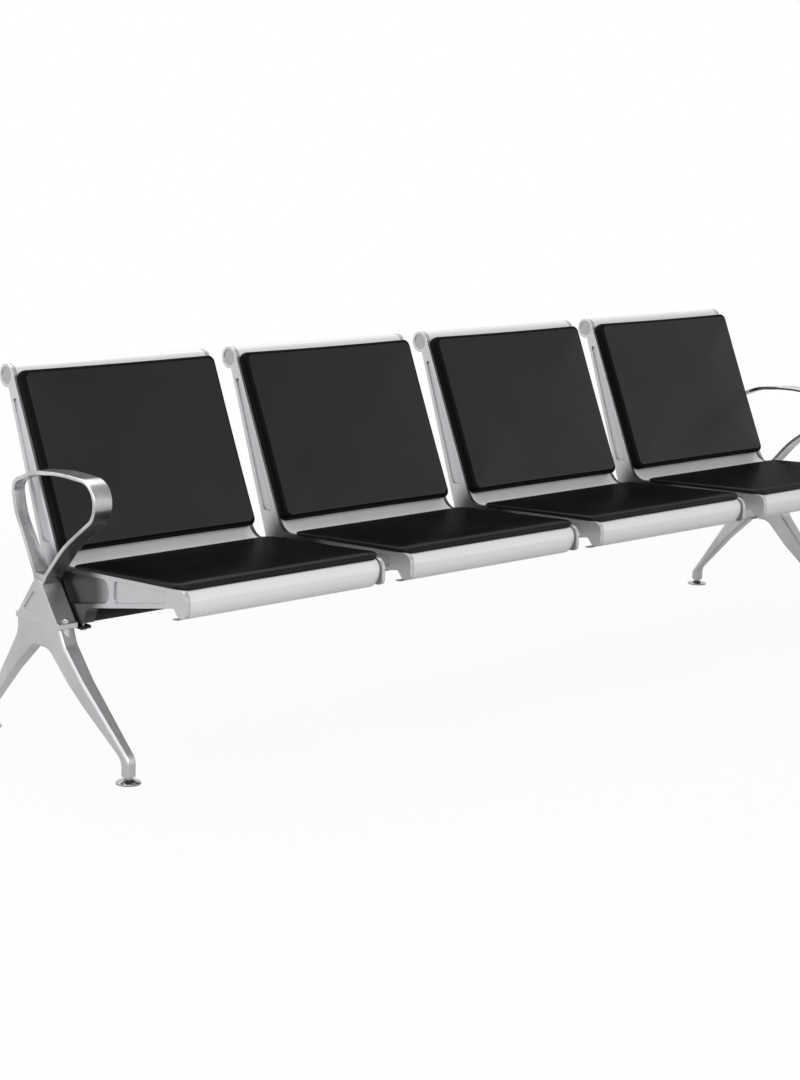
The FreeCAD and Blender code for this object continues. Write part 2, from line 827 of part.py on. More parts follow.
def rear_bar_line(y, below=0) -> str:
    """Height of the straight outer edge of a leg's rear bar at y, or of a line below it."""
    drop = "(beam_bottom - ankle_bottom - 51) / (rear_foot_y + ankle_width / 2 - leg_top_rear)"
    return f"(beam_bottom - 29 - (({y}) - leg_top_rear) * {drop} - ({below}))"


def leg_outline() -> list:
    """The leg's side view: a flat top, two spread bars with an arch between, upright ankles."""
    front_out = "front_foot_y - ankle_width / 2"
    front_in = "front_foot_y + ankle_width / 2"
    rear_in = "rear_foot_y - ankle_width / 2"
    rear_out = "rear_foot_y + ankle_width / 2"
    return [
        corner("leg_top_front", "beam_bottom"),
        corner("leg_top_front - 14", "beam_bottom - 30", 30),
        corner("front_foot_y + 136", "beam_bottom - 92", 200),
        corner(front_out, "ankle_bottom + 37.5", 25),
        corner(front_out, "ankle_bottom"),
        corner(front_in, "ankle_bottom"),
        corner(front_in, "ankle_bottom + 30", 25),
        corner("front_foot_y + 136", "arch_crown - 96", 200),
        corner("leg_top_front - 23", "arch_crown - 59", 150),
        corner("leg_top_front + 40", "arch_crown", 40),
        corner("leg_top_rear - 50", "arch_crown", 40),
        corner("rear_foot_y - 102", rear_bar_line("rear_foot_y - 102", 51), 200),
        corner(rear_in, "ankle_bottom + 31", 25),
        corner(rear_in, "ankle_bottom"),
        corner(rear_out, "ankle_bottom"),
        corner(rear_out, "ankle_bottom + 22", 25),
        corner("leg_top_rear", "beam_bottom - 29", 60),
        corner("leg_top_rear", "beam_bottom"),
    ]


def leg_side_cut(side: int) -> list:
    """The wedge cut from one side of a leg, which thins it towards the ankles."""
    return [
        corner(f"{side} * ankle_width / 2", "ankle_bottom - 10"),
        corner(f"{side} * ankle_width / 2", "ankle_bottom + 46", 1000),
        corner(f"{side} * leg_width / 2", "beam_bottom"),
        corner(f"{side} * leg_width", "beam_bottom"),
        corner(f"{side} * leg_width", "ankle_bottom - 10"),
    ]


def long_leg_edges(shape) -> list:
    """Names of a leg's long edges, where its side faces meet its outline."""
    names = []
    for number, edge in enumerate(shape.Edges, start=1):
        middle = edge.valueAt((edge.FirstParameter + edge.LastParameter) / 2)
        normals = []
        for face in shape.ancestorsOfType(edge, Part.Face):
            normals.append(face.normalAt(*face.Surface.parameter(middle)))
        sideways = sorted(abs(normal.x) for normal in normals)
        on_end = any(abs(normal.z) > 0.99 for normal in normals) and not (
            value("ankle_bottom") + 1 < middle.z < value("beam_bottom") - 1
        )
        if sideways[0] < 0.2 and sideways[-1] > 0.9 and not on_end:
            names.append(f"Edge{number}")
    return names


def make_leg(label: str, x: str):
    """A cast leg with a boss for the front screw and threaded ankles."""
    body = new_body(label, x)
    outline = add_sketch(body, "YZ_Plane", f"{label}_outline")
    draw_loops(outline, leg_outline())
    pad(body, outline, "leg_width + 4", symmetric=True)
    taper = add_sketch(body, "XZ_Plane", f"{label}_taper")
    draw_loops(taper, leg_side_cut(-1), leg_side_cut(1))
    tapered = pocket(body, taper, THROUGH, symmetric=True)
    doc.recompute()
    soften = body.newObject("PartDesign::Fillet", f"{label}_edges")
    soften.Base = (tapered, long_leg_edges(tapered.Shape))
    bind(soften, "Radius", "leg_edge_radius")
    boss = add_sketch(body, "XY_Plane", f"{label}_boss", "beam_bottom")
    draw_circles(boss, ("0", "beam_y - leg_screw_spread / 2", "leg_boss_radius"))
    pad(body, boss, "leg_boss_height", reverse=True)
    screws = add_sketch(body, "XY_Plane", f"{label}_screw_holes", "beam_bottom")
    draw_circles(
        screws,
        ("0", "beam_y - leg_screw_spread / 2", "leg_screw_radius + thread_gap"),
        ("0", "beam_y + leg_screw_spread / 2", "leg_screw_radius + thread_gap"),
    )
    pocket(body, screws, "leg_screw_length - flange_thickness + thread_gap", along_normal=False)
    bore = add_sketch(body, "XY_Plane", f"{label}_bolt_hole", "beam_bottom")
    draw_circles(bore, ("0", "beam_y", "arm_bolt_radius + thread_gap"))
    pocket(body, bore, "beam_bottom - arch_crown + 10", along_normal=False)
    sink = add_sketch(body, "XY_Plane", f"{label}_bolt_sink", "arch_crown + arm_bolt_sink")
    draw_circles(sink, ("0", "beam_y", "arm_bolt_head_radius + 1"))
    pocket(body, sink, "arm_bolt_sink + 10", along_normal=False)
    sockets = add_sketch(body, "XY_Plane", f"{label}_sockets", "ankle_bottom")
    draw_circles(
        sockets,
        ("0", "front_foot_y", "stem_radius + thread_gap"),
        ("0", "rear_foot_y", "stem_radius + thread_gap"),
    )
    pocket(body, sockets, "stem_grip + 4")
    return body


# Saddles

def saddle_outline() -> list:
    """The saddle's side view: a rounded ridge with a foot flange front and rear."""
    foot = flank(FLANGE_TOP, "saddle_wall")
    return [
        corner("beam_y - flange_half", "beam_bottom", 1),
        corner("beam_y + flange_half", "beam_bottom", 1),
        corner("beam_y + flange_half", FLANGE_TOP, 3),
        corner(f"beam_y + {foot}", FLANGE_TOP, 5),
        corner("beam_y", beam_apex("saddle_wall"), "beam_crest + saddle_wall"),
        corner(f"beam_y - {foot}", FLANGE_TOP, 5),
        corner("beam_y - flange_half", FLANGE_TOP, 3),
    ]


def saddle_panel() -> list:
    """The sunk triangle in the rear half of a saddle's end face."""
    low = f"{FLANGE_TOP} + 8"
    high = f"{beam_apex('saddle_wall')} - 40"
    return [
        corner("beam_y + 6", low, 4),
        corner(f"beam_y + {flank(low, 'saddle_wall')} - 10", low, 4),
        corner(f"beam_y + {flank(high, 'saddle_wall')} - 14", high, 4),
        corner("beam_y - 2", high, 4),
    ]


def make_saddle(label: str, side: int) -> None:
    """The casting that caps a beam end, closed on its outer side."""
    body = new_body(label, f"{side} * leg_x")
    outwards = side > 0
    inner = f"0 - {side} * saddle_width / 2"
    outer = f"{side} * saddle_width / 2"
    outline = add_sketch(body, "YZ_Plane", f"{label}_outline", inner)
    draw_loops(outline, saddle_outline())
    pad(body, outline, "saddle_width", reverse=not outwards)
    space = add_sketch(body, "YZ_Plane", f"{label}_beam_space", inner)
    draw_loops(space, beam_triangle("beam_fit"))
    pocket(body, space, "saddle_width - saddle_end_wall", along_normal=outwards)
    panel = add_sketch(body, "YZ_Plane", f"{label}_panel", outer)
    draw_loops(panel, saddle_panel())
    pocket(body, panel, "saddle_recess", along_normal=not outwards)
    shanks = add_sketch(body, "XY_Plane", f"{label}_shanks", "beam_bottom - 1")
    heads = add_sketch(body, "XY_Plane", f"{label}_heads", FLANGE_TOP)
    for sketch, radius in ((shanks, "leg_screw_radius + thread_gap"), (heads, "leg_screw_head_radius + thread_gap")):
        draw_circles(
            sketch,
            ("0", "beam_y - leg_screw_spread / 2", radius),
            ("0", "beam_y + leg_screw_spread / 2", radius),
        )
        pocket(body, sketch, "saddle_width")
    bore = add_sketch(body, "XY_Plane", f"{label}_bore", beam_apex("saddle_wall"))
    draw_circles(bore, ("0", "beam_y", "arm_bolt_radius + thread_gap"))
    pocket(body, bore, "4 * saddle_wall", along_normal=False)


# Arm loops

def arm_path() -> list:
    """The middle line of the arm strap, from its front root round to its rear root."""
    root = f"({beam_apex('saddle_wall')} - 16)"
    return [
        corner("beam_y - 12", root),
        corner("arm_front_y + 102", "arm_top_z - 144.5", 300),
        corner("arm_front_y", "arm_top_z - 70.5", "arm_front_radius"),
        corner("arm_front_y", "arm_top_z - 3", "arm_front_radius"),
        corner("arm_front_y + 121", "arm_top_z", 500),
        corner("arm_rear_y - 78", "arm_top_z - 11.5", 150),
        corner("arm_rear_y", "arm_top_z - 41.5", "arm_rear_radius"),
        corner("arm_rear_y - 14", "arm_top_z - 103.5", 120),
        corner("beam_y + 11", root),
    ]


def arm_side_cut(side: int) -> list:
    """The wedge cut from one side of an arm, which narrows it towards the rear."""
    return [
        corner(f"{side} * arm_width / 2", "beam_y - 50"),
        corner(f"{side} * arm_rear_width / 2", "arm_rear_y - 36", 60),
        corner(f"{side} * arm_rear_width / 2", "arm_rear_y + 20"),
        corner(f"{side} * arm_width", "arm_rear_y + 20"),
        corner(f"{side} * arm_width", "beam_y - 50"),
    ]


def make_arm(label: str, x: str):
    """A closed arm loop: one strap bent round, both ends joined in a foot on the saddle."""
    body = new_body(label, x)
    path = add_sketch(body, "YZ_Plane", f"{label}_path")
    outline = Outline(path)
    outline.draw(arm_path(), closed=False)
    outline.finish()
    start, following = arm_path()[:2]
    run = f"(({following.u}) - ({start.u}))"
    rise = f"(({following.v}) - ({start.v}))"
    section = add_sketch(body, "XY_Plane", f"{label}_section")
    section.AttachmentOffset = FreeCAD.Placement(FreeCAD.Vector(), FreeCAD.Rotation(FreeCAD.Vector(1, 0, 0), 10))
    bind(section, "AttachmentOffset.Rotation.Angle", f"atan((0 - {run}) / {rise})")
    bind(section, "AttachmentOffset.Base.y", start.u)
    bind(section, "AttachmentOffset.Base.z", start.v)
    draw_loops(section, rounded_rectangle("arm_width", "0 - arm_thickness / 2", "arm_thickness / 2", "arm_edge"))
    strap = body.newObject("PartDesign::AdditivePipe", f"{label}_strap")
    strap.Profile = section
    strap.Spine = (path, [])
    foot = add_sketch(body, "YZ_Plane", f"{label}_foot")
    crest = f"({beam_apex('saddle_wall')} - (beam_crest + saddle_wall) * (1 / sin(beam_flank) - 1))"
    draw_loops(foot, [
        corner("beam_y - 16", f"{crest} - 8"),
        corner("beam_y + 16", f"{crest} - 8"),
        corner("beam_y + 25", f"{crest} + arm_foot_height - 4", 3),
        corner("beam_y - 31", f"{crest} + arm_foot_height - 4", 3),
    ])
    pad(body, foot, "arm_width", symmetric=True)
    taper = add_sketch(body, "XY_Plane", f"{label}_taper")
    draw_loops(taper, arm_side_cut(-1), arm_side_cut(1))
    pocket(body, taper, THROUGH, symmetric=True)
    seat = add_sketch(body, "YZ_Plane", f"{label}_seat")
    draw_loops(seat, [
        corner("beam_y - 60", "beam_bottom"),
        corner("beam_y + 60", "beam_bottom"),
        corner(f"beam_y + {flank('beam_bottom', 'saddle_wall + 0.1')}", "beam_bottom"),
        corner("beam_y", beam_apex("saddle_wall + 0.1"), "beam_crest + saddle_wall + 0.1"),
        corner(f"beam_y - {flank('beam_bottom', 'saddle_wall + 0.1')}", "beam_bottom"),
    ])
    pocket(body, seat, "2 * arm_width", symmetric=True)
    tap = add_sketch(body, "XY_Plane", f"{label}_tap", f"{crest} - 10")
    draw_circles(tap, ("0", "beam_y", "arm_bolt_radius + thread_gap"))
    pocket(body, tap, "arm_bolt_grip + 10")
    return body


# Levelling feet

def make_foot(label: str, x: str, y: str):
    """A round foot plate with a socket for its stem."""
    body = new_body(label, x, y)
    profile = add_sketch(body, "XZ_Plane", "foot_plate_profile")
    socket = "stem_radius + thread_gap"
    draw_loops(profile, [
        corner("0", "0"),
        corner("foot_radius", "0"),
        corner("foot_radius", "foot_rim", 1),
        corner("foot_neck_radius + 3", "foot_height - 2", 8),
        corner("foot_neck_radius", "foot_height"),
        corner(socket, "foot_height"),
        corner(socket, "foot_height - socket_depth"),
        corner("0", "foot_height - socket_depth"),
    ])
    revolve(body, profile)
    return body


def make_stem(label: str, x: str, y: str):
    """The screw of a levelling foot, with the collar that stops it under the ankle."""
    body = new_body(label, x, y)
    profile = add_sketch(body, "XZ_Plane", "foot_stem_profile")
    collar_top = "ankle_bottom - collar_gap"
    collar_low = "foot_height + collar_gap"
    draw_loops(profile, [
        corner("0", "foot_height - socket_depth + collar_gap"),
        corner("stem_radius", "foot_height - socket_depth + collar_gap"),
        corner("stem_radius", collar_low),
        corner("collar_radius", collar_low),
        corner("collar_radius", collar_top),
        corner("stem_radius", collar_top),
        corner("stem_radius", "ankle_bottom + stem_grip - 1"),
        corner("stem_radius - 1", "ankle_bottom + stem_grip"),
        corner("0", "ankle_bottom + stem_grip"),
    ])
    revolve(body, profile)
    return body


# Fasteners: each kind is one shape, repeated over its places and kept as separate solids

def screw_shape(shank_radius: float, head_radius: float, head_height: float, length: float):
    """A plain screw standing on its head: the head below Z = 0, the shank above it."""
    up = FreeCAD.Vector(0, 0, 1)
    head = Part.makeCylinder(head_radius, head_height, FreeCAD.Vector(0, 0, -head_height), up)
    rim = [edge for edge in head.Edges if len(edge.Vertexes) == 1 and edge.CenterOfMass.z < -head_height / 2]
    head = head.makeChamfer(head_height * 0.2, rim)
    shank = Part.makeCylinder(shank_radius, length, FreeCAD.Vector(), up)
    return head.fuse(shank).removeSplitter()


def make_group(label: str, shape, placements: list) -> None:
    """Identical fasteners as one object of separate solids."""
    copies = []
    for placement in placements:
        copy = shape.copy()
        copy.Placement = placement
        copies.append(copy)
    group = doc.addObject("Part::Feature", label)
    group.Label = label
    group.Shape = Part.makeCompound(copies)
    group.Placement = FreeCAD.Placement()


def tilted_placement(x: str, tilt: str, along: str, height: str) -> FreeCAD.Placement:
    """A place on the seat or back face, with Z square to that face."""
    turn = FreeCAD.Rotation(FreeCAD.Vector(1, 0, 0), value(tilt))
    knee = FreeCAD.Vector(value(x), value("knee_y"), value("knee_z"))
    return FreeCAD.Placement(knee + turn.multVec(FreeCAD.Vector(0, value(along), value(height))), turn)


def make_pad_screws(seats: list) -> None:
    """Screws that draw each pad, through sheet and side frame, into its board."""
    under = "0 - sheet_thickness - shelf_thickness"
    length = value("sheet_thickness + shelf_thickness + pad_screw_bite")
    shape = screw_shape(value("pad_screw_radius"), value("pad_screw_head_radius"), value("pad_screw_head_height"), length)
    places = []
    for middle in seats:
        for tilt, along in screw_places():
            for side in (-1, 1):
                places.append(tilted_placement(f"{middle} + {side} * pad_screw_x", tilt, along, under))
    make_group("pad_screws", shape, places)


def upright(x: str, y: str, z: str, flip: bool = False) -> FreeCAD.Placement:
    """A place in the bench with Z up, or with Z down."""
    turn = FreeCAD.Rotation(FreeCAD.Vector(1, 0, 0), 180 if flip else 0)
    return FreeCAD.Placement(FreeCAD.Vector(value(x), value(y), value(z)), turn)


def make_clamp_bolts(seats: list) -> None:
    """Bolts that draw the clamp plates up against the beam."""
    length = value("hub_foot_z - beam_bottom + clamp_thickness + clamp_bolt_grip")
    shape = screw_shape(value("clamp_bolt_radius"), value("clamp_head_radius"), value("clamp_head_height"), length)
    places = []
    for middle in seats:
        for side in (-1, 1):
            x = f"{middle} + {side} * ({MODULE_EDGE} - frame_depth / 2)"
            for way in (-1, 1):
                y = f"beam_y + {way} * clamp_bolt_spread / 2"
                places.append(upright(x, y, "beam_bottom - clamp_thickness"))
    make_group("clamp_bolts", shape, places)


def make_leg_screws() -> None:
    """Screws down through the saddle flanges into the legs."""
    shape = screw_shape(
        value("leg_screw_radius"), value("leg_screw_head_radius"), value("leg_screw_head_height"),
        value("leg_screw_length"),
    )
    places = []
    for side in (-1, 1):
        for way in (-1, 1):
            places.append(upright(f"{side} * leg_x", f"beam_y + {way} * leg_screw_spread / 2", FLANGE_TOP, flip=True))
    make_group("leg_screws", shape, places)


def make_arm_bolts() -> None:
    """Long bolts from the arch of each leg up through the beam into the arm."""
    seat = "arch_crown + arm_bolt_sink"
    crest = f"({beam_apex('saddle_wall')} - (beam_crest + saddle_wall) * (1 / sin(beam_flank) - 1))"
    length = value(f"{crest} + arm_bolt_grip - 10.2 - ({seat})")
    shape = screw_shape(value("arm_bolt_radius"), value("arm_bolt_head_radius"), value("arm_bolt_head_height"), length)
    make_group("arm_bolts", shape, [upright(f"{side} * leg_x", "beam_y", seat) for side in (-1, 1)])


# The whole bench

def make_first_seat() -> dict:
    """The pieces of the leftmost seat, by kind."""
    x = seat_x(0)
    seat_low = "0 - seat_pad_gap - seat_pad_length"
    made = {
        "seat_sheet": make_seat_sheet("seat_sheet_1", x),
        "seat_pad": make_pad("seat_pad_1", "seat", x, SEAT_TILT, seat_low),
        "seat_board": make_board("seat_board_1", "seat", x, SEAT_TILT, seat_low),
        "back_pad": make_pad("back_pad_1", "back", x, BACK_TILT, "back_pad_gap"),
        "back_board": make_board("back_board_1", "back", x, BACK_TILT, "back_pad_gap"),
    }
    for name, side in (("left", -1), ("right", 1)):
        made[f"side_frame_{name}"] = make_side_frame(f"side_frame_{name}_1", x, side)
        made[f"clamp_plate_{name}"] = make_clamp_plate(f"clamp_plate_{name}_1", x, side)
    return made


TILTED_KINDS = {
    "seat_pad": SEAT_TILT,
    "seat_board": SEAT_TILT,
    "back_pad": BACK_TILT,
    "back_board": BACK_TILT,
}


def make_seats() -> list:
    """Every seat along the beam, numbered from the left. Returns the middle of each one."""
    first = make_first_seat()
    count = int(value("seat_count"))
    for index in range(1, count):
        for kind, body in first.items():
            label = f"{kind}_{index + 1}"
            if kind in TILTED_KINDS:
                clone_body(body, label, seat_x(index), "knee_y", "knee_z", TILTED_KINDS[kind])
            else:
                clone_body(body, label, seat_x(index))
    return [f"({seat_x(index)})" for index in range(count)]


def make_ends() -> None:
    """Both ends of the bench: leg, feet, saddle and arm."""
    left = "0 - leg_x"
    right = "leg_x"
    leg = make_leg("leg_left", left)
    clone_body(leg, "leg_right", right)
    arm = make_arm("arm_left", left)
    clone_body(arm, "arm_right", right)
    make_saddle("saddle_left", -1)
    make_saddle("saddle_right", 1)
    foot = make_foot("foot_plate_left_front", left, "front_foot_y")
    stem = make_stem("foot_stem_left_front", left, "front_foot_y")
    for name, x, place in (("left_rear", left, "rear"), ("right_front", right, "front"), ("right_rear", right, "rear")):
        clone_body(foot, f"foot_plate_{name}", x, f"{place}_foot_y")
        clone_body(stem, f"foot_stem_{name}", x, f"{place}_foot_y")


def pieces() -> list:
    """Every object that is a piece of the bench."""
    found = [item for item in doc.Objects if item.TypeId == "PartDesign::Body"]
    return found + [item for item in doc.Objects if item.TypeId == "Part::Feature"]


def check_document() -> None:
    """Stop if a feature failed or a piece is not a sound solid."""
    for item in doc.Objects:
        if "Invalid" in item.State or "Error" in item.State:
            raise RuntimeError(f"{item.Name} failed: {item.State}")
    for item in pieces():
        if item.Shape.isNull() or not item.Shape.isValid() or not item.Shape.Solids:
            raise RuntimeError(f"{item.Label} is not a sound solid")


def write_pieces() -> None:
    """Write each piece to its own STEP file, named by its label."""
    os.makedirs("parts", exist_ok=True)
    for item in pieces():
        item.Shape.exportStep(f"parts/{item.Label}.step")
        print(item.Label, len(item.Shape.Solids), round(item.Shape.Volume))


make_beam()
make_ends()
middles = make_seats()
make_pad_screws(middles)
make_clamp_bolts(middles)
make_leg_screws()
make_arm_bolts()
doc.recompute()
check_document()
write_pieces()
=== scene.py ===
"""Looks of the reception bench: four padded seats on one beam, with a cast leg and arm loop at each end."""
from __future__ import annotations

import json
import logging
import math
from collections.abc import Iterable
from dataclasses import dataclass, field
from enum import Enum

import bmesh
import bpy
import numpy as np
from mathutils import Matrix, Vector

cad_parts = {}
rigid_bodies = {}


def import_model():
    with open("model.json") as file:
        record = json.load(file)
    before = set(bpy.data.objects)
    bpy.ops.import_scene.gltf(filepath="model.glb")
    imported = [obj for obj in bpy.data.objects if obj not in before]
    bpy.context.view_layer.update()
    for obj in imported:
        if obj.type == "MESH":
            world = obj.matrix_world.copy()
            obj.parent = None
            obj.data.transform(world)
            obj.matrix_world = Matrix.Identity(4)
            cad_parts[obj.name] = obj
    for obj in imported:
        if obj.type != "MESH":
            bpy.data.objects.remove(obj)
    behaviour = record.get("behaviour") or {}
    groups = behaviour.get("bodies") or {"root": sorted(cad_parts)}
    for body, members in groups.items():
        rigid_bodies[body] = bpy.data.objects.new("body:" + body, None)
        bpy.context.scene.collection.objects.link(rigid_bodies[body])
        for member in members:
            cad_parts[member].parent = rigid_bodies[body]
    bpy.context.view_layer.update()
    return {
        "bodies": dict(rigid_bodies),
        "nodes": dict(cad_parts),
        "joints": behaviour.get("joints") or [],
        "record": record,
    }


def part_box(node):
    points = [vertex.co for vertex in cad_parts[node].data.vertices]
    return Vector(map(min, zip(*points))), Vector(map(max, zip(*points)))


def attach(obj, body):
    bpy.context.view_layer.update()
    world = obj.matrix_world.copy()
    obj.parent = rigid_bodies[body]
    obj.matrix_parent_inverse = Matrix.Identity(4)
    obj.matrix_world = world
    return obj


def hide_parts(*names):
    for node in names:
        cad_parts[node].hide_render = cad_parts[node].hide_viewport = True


log = logging.getLogger("reception_bench")

SEAT_NUMBERS = (1, 2, 3, 4)
SIDES = ("left", "right")
ENDS = ("front", "rear")
MATERIAL_RAYS = 6
MM = 1000.0
UNDERSIDE = 1000.0
Triple = tuple[float, float, float]
Colour = Triple
Spread = tuple[float, float]


# Shader trees written as expressions

class Wire:
    """One output of a node, on which plain arithmetic adds Math nodes."""

    def __init__(self, tree: "ShaderTree", socket: bpy.types.NodeSocket) -> None:
        """Wrap a socket.

        Args:
            tree: the tree that new nodes are added to.
            socket: the output that this wire stands for.
        """
        self.tree = tree
        self.socket = socket

    def apply(self, operation: str, *others: "Wire | float") -> "Wire":
        """Put this wire through a Math node.

        Args:
            operation: the Math node's operation.
            others: the node's further values or wires.

        Returns:
            The node's result.
        """
        values = dict(enumerate((self, *others)))
        return self.tree.add("ShaderNodeMath", {"operation": operation}, values)

    def __add__(self, other: "Wire | float") -> "Wire":
        """Return self + other."""
        return self.apply("ADD", other)

    def __radd__(self, other: float) -> "Wire":
        """Return other + self."""
        return self.apply("ADD", other)

    def __sub__(self, other: "Wire | float") -> "Wire":
        """Return self - other."""
        return self.apply("SUBTRACT", other)

    def __rsub__(self, other: float) -> "Wire":
        """Return other - self."""
        values = {0: other, 1: self}
        return self.tree.add("ShaderNodeMath", {"operation": "SUBTRACT"}, values)

    def __mul__(self, other: "Wire | float") -> "Wire":
        """Return self * other."""
        return self.apply("MULTIPLY", other)

    def between(self, low: float, high: float) -> "Wire":
        """Return 0 at or below low, 1 at or above high, and a smooth step between."""
        settings = {"interpolation_type": "SMOOTHSTEP"}
        values = {"Value": self, "From Min": low, "From Max": high}
        return self.tree.add("ShaderNodeMapRange", settings, values)

    def around(self, middle: float, swing: float) -> "Wire":
        """Return this wire, moved to have its middle at 0 and scaled by a swing."""
        return (self - middle) * swing

    def band(self, middle: float, half: float) -> "Wire":
        """Return 1 where this wire is at middle, falling smoothly to 0 at a distance of half."""
        return 1.0 - (self - middle).apply("ABSOLUTE").between(0.0, half)


class ShaderTree:
    """The node tree of one material or world."""

    def __init__(self, tree: bpy.types.NodeTree) -> None:
        """Start from an empty tree.

        Args:
            tree: the tree, whose nodes are removed.
        """
        self.tree = tree
        tree.nodes.clear()

    def add(
        self,
        kind: str,
        settings: dict | None = None,
        inputs: dict | None = None,
        output: int | str = 0,
    ) -> Wire:
        """Add one node.

        Args:
            kind: the node's type.
            settings: its settings, set before its sockets.
            inputs: values or wires by the name or number of the input.
            output: the output that the result stands for.

        Returns:
            That output.
        """
        node = self.tree.nodes.new(kind)
        for name, value in (settings or {}).items():
            setattr(node, name, value)
        for name, value in (inputs or {}).items():
            if isinstance(value, Wire):
                self.tree.links.new(value.socket, node.inputs[name])
            else:
                node.inputs[name].default_value = value
        return Wire(self, node.outputs[output]) if node.outputs else None

    def place(self, scale: float | Triple = 1.0) -> Wire:
        """Return the Object coordinates in metres, times a scale."""
        where = self.add("ShaderNodeTexCoord", output="Object")
        factor = (scale, scale, scale) if isinstance(scale, (int, float)) else scale
        return self.add("ShaderNodeVectorMath", {"operation": "MULTIPLY"}, {0: where, 1: factor})

    def noise(
        self,
        per_metre: float | Triple,
        detail: float = 2.0,
        roughness: float = 0.5,
    ) -> Wire:
        """Return noise from 0 to 1.

        Args:
            per_metre: the waves in a metre, which may differ by axis.
            detail: the number of finer layers.
            roughness: the strength of the finer layers.

        Returns:
            The noise.
        """
        values = {"Vector": self.place(per_metre), "Scale": 1.0, "Detail": detail, "Roughness": roughness}
        return self.add("ShaderNodeTexNoise", {}, values)

    def mix(self, share: Wire | float, first: Wire | Colour, second: Wire | Colour) -> Wire:
        """Mix two colours.

        The Mix node's inputs 0, 6 and 7 are the share and the two colours; its output 2 is a colour.

        Args:
            share: 0 for the first colour and 1 for the second.
            first: the first colour.
            second: the second colour.

        Returns:
            The mixed colour.
        """
        node = self.tree.nodes.new("ShaderNodeMix")
        node.data_type = "RGBA"
        node.clamp_factor = True
        for number, value in ((0, share), (6, first), (7, second)):
            if isinstance(value, Wire):
                self.tree.links.new(value.socket, node.inputs[number])
            else:
                node.inputs[number].default_value = value if number == 0 else (*value, 1.0)
        return Wire(self, node.outputs[2])

    def soft_edges(self, radius: float) -> Wire:
        """Return a normal that rounds every sharp edge by a radius in metres."""
        return self.add("ShaderNodeBevel", {"samples": MATERIAL_RAYS}, {"Radius": radius})

    def dot(self, first: Wire, second: Wire | Colour) -> Wire:
        """Return the dot product of two vectors."""
        settings = {"operation": "DOT_PRODUCT"}
        return self.add("ShaderNodeVectorMath", settings, {0: first, 1: second}, "Value")

    def length(self, vector: Wire) -> Wire:
        """Return a vector's length."""
        return self.add("ShaderNodeVectorMath", {"operation": "LENGTH"}, {0: vector}, "Value")

    def edge_mask(self, radius: float, bent: float = 0.86, flat: float = 0.995) -> Wire:
        """Return 1 along sharp edges and 0 on flat faces.

        Args:
            radius: the width of an edge, in metres.
            bent: the cosine between the rounded and the true normal where the mask is 1.
            flat: the cosine where the mask is 0.

        Returns:
            The mask.
        """
        true_normal = self.add("ShaderNodeNewGeometry", output="Normal")
        return 1.0 - self.dot(self.soft_edges(radius), true_normal).between(bent, flat)

    def bump(self, height: Wire, depth: float, normal: Wire | None = None) -> Wire:
        """Return a normal from a height of 0 to 1 that stands for a depth in metres."""
        inputs = {"Height": height, "Distance": depth, "Strength": 1.0}
        if normal is not None:
            inputs["Normal"] = normal
        return self.add("ShaderNodeBump", {}, inputs)

    def crevice(self, reach: float, shut: float = 0.10, open_from: float = 0.62) -> Wire:
        """Return 1 deep in a joint or corner and 0 on open faces.

        Args:
            reach: how far around to look, in metres.
            shut: the open share at which the result is 1.
            open_from: the open share at which the result is 0.

        Returns:
            The mask.
        """
        settings = {"samples": MATERIAL_RAYS, "only_local": False}
        opened = self.add("ShaderNodeAmbientOcclusion", settings, {"Distance": reach}, "AO")
        return 1.0 - opened.between(shut, open_from)

    def principled(self, **inputs: "Wire | float | Colour") -> Wire:
        """Add one Principled shader.

        Args:
            inputs: its sockets, with an underscore for each space in a name.

        Returns:
            The shader.
        """
        named = {}
        for name, value in inputs.items():
            socket = " ".join(word.capitalize() for word in name.split("_")).replace("Ior", "IOR")
            named[socket] = (*value, 1.0) if isinstance(value, tuple) else value
        return self.add("ShaderNodeBsdfPrincipled", {}, named)

    def finish(self, shader: Wire) -> None:
        """Make a shader the material's surface."""
        self.add("ShaderNodeOutputMaterial", {}, {"Surface": shader})

    def surface(self, **inputs: "Wire | float | Colour") -> None:
        """Finish a material with one Principled surface, with an underscore for each space in a socket."""
        self.finish(self.principled(**inputs))


# Finishes

class Finish:
    """A finish that a material is made from."""

    def paint(self, tree: ShaderTree) -> None:
        """Add the finish's nodes to a tree."""
        raise NotImplementedError

    def material(self, name: str) -> bpy.types.Material:
        """Make the material.

        Args:
            name: the material's name.

        Returns:
            The material, with this finish's nodes.
        """
        made = bpy.data.materials.new(name)
        made.use_nodes = True
        self.paint(ShaderTree(made.node_tree))
        return made


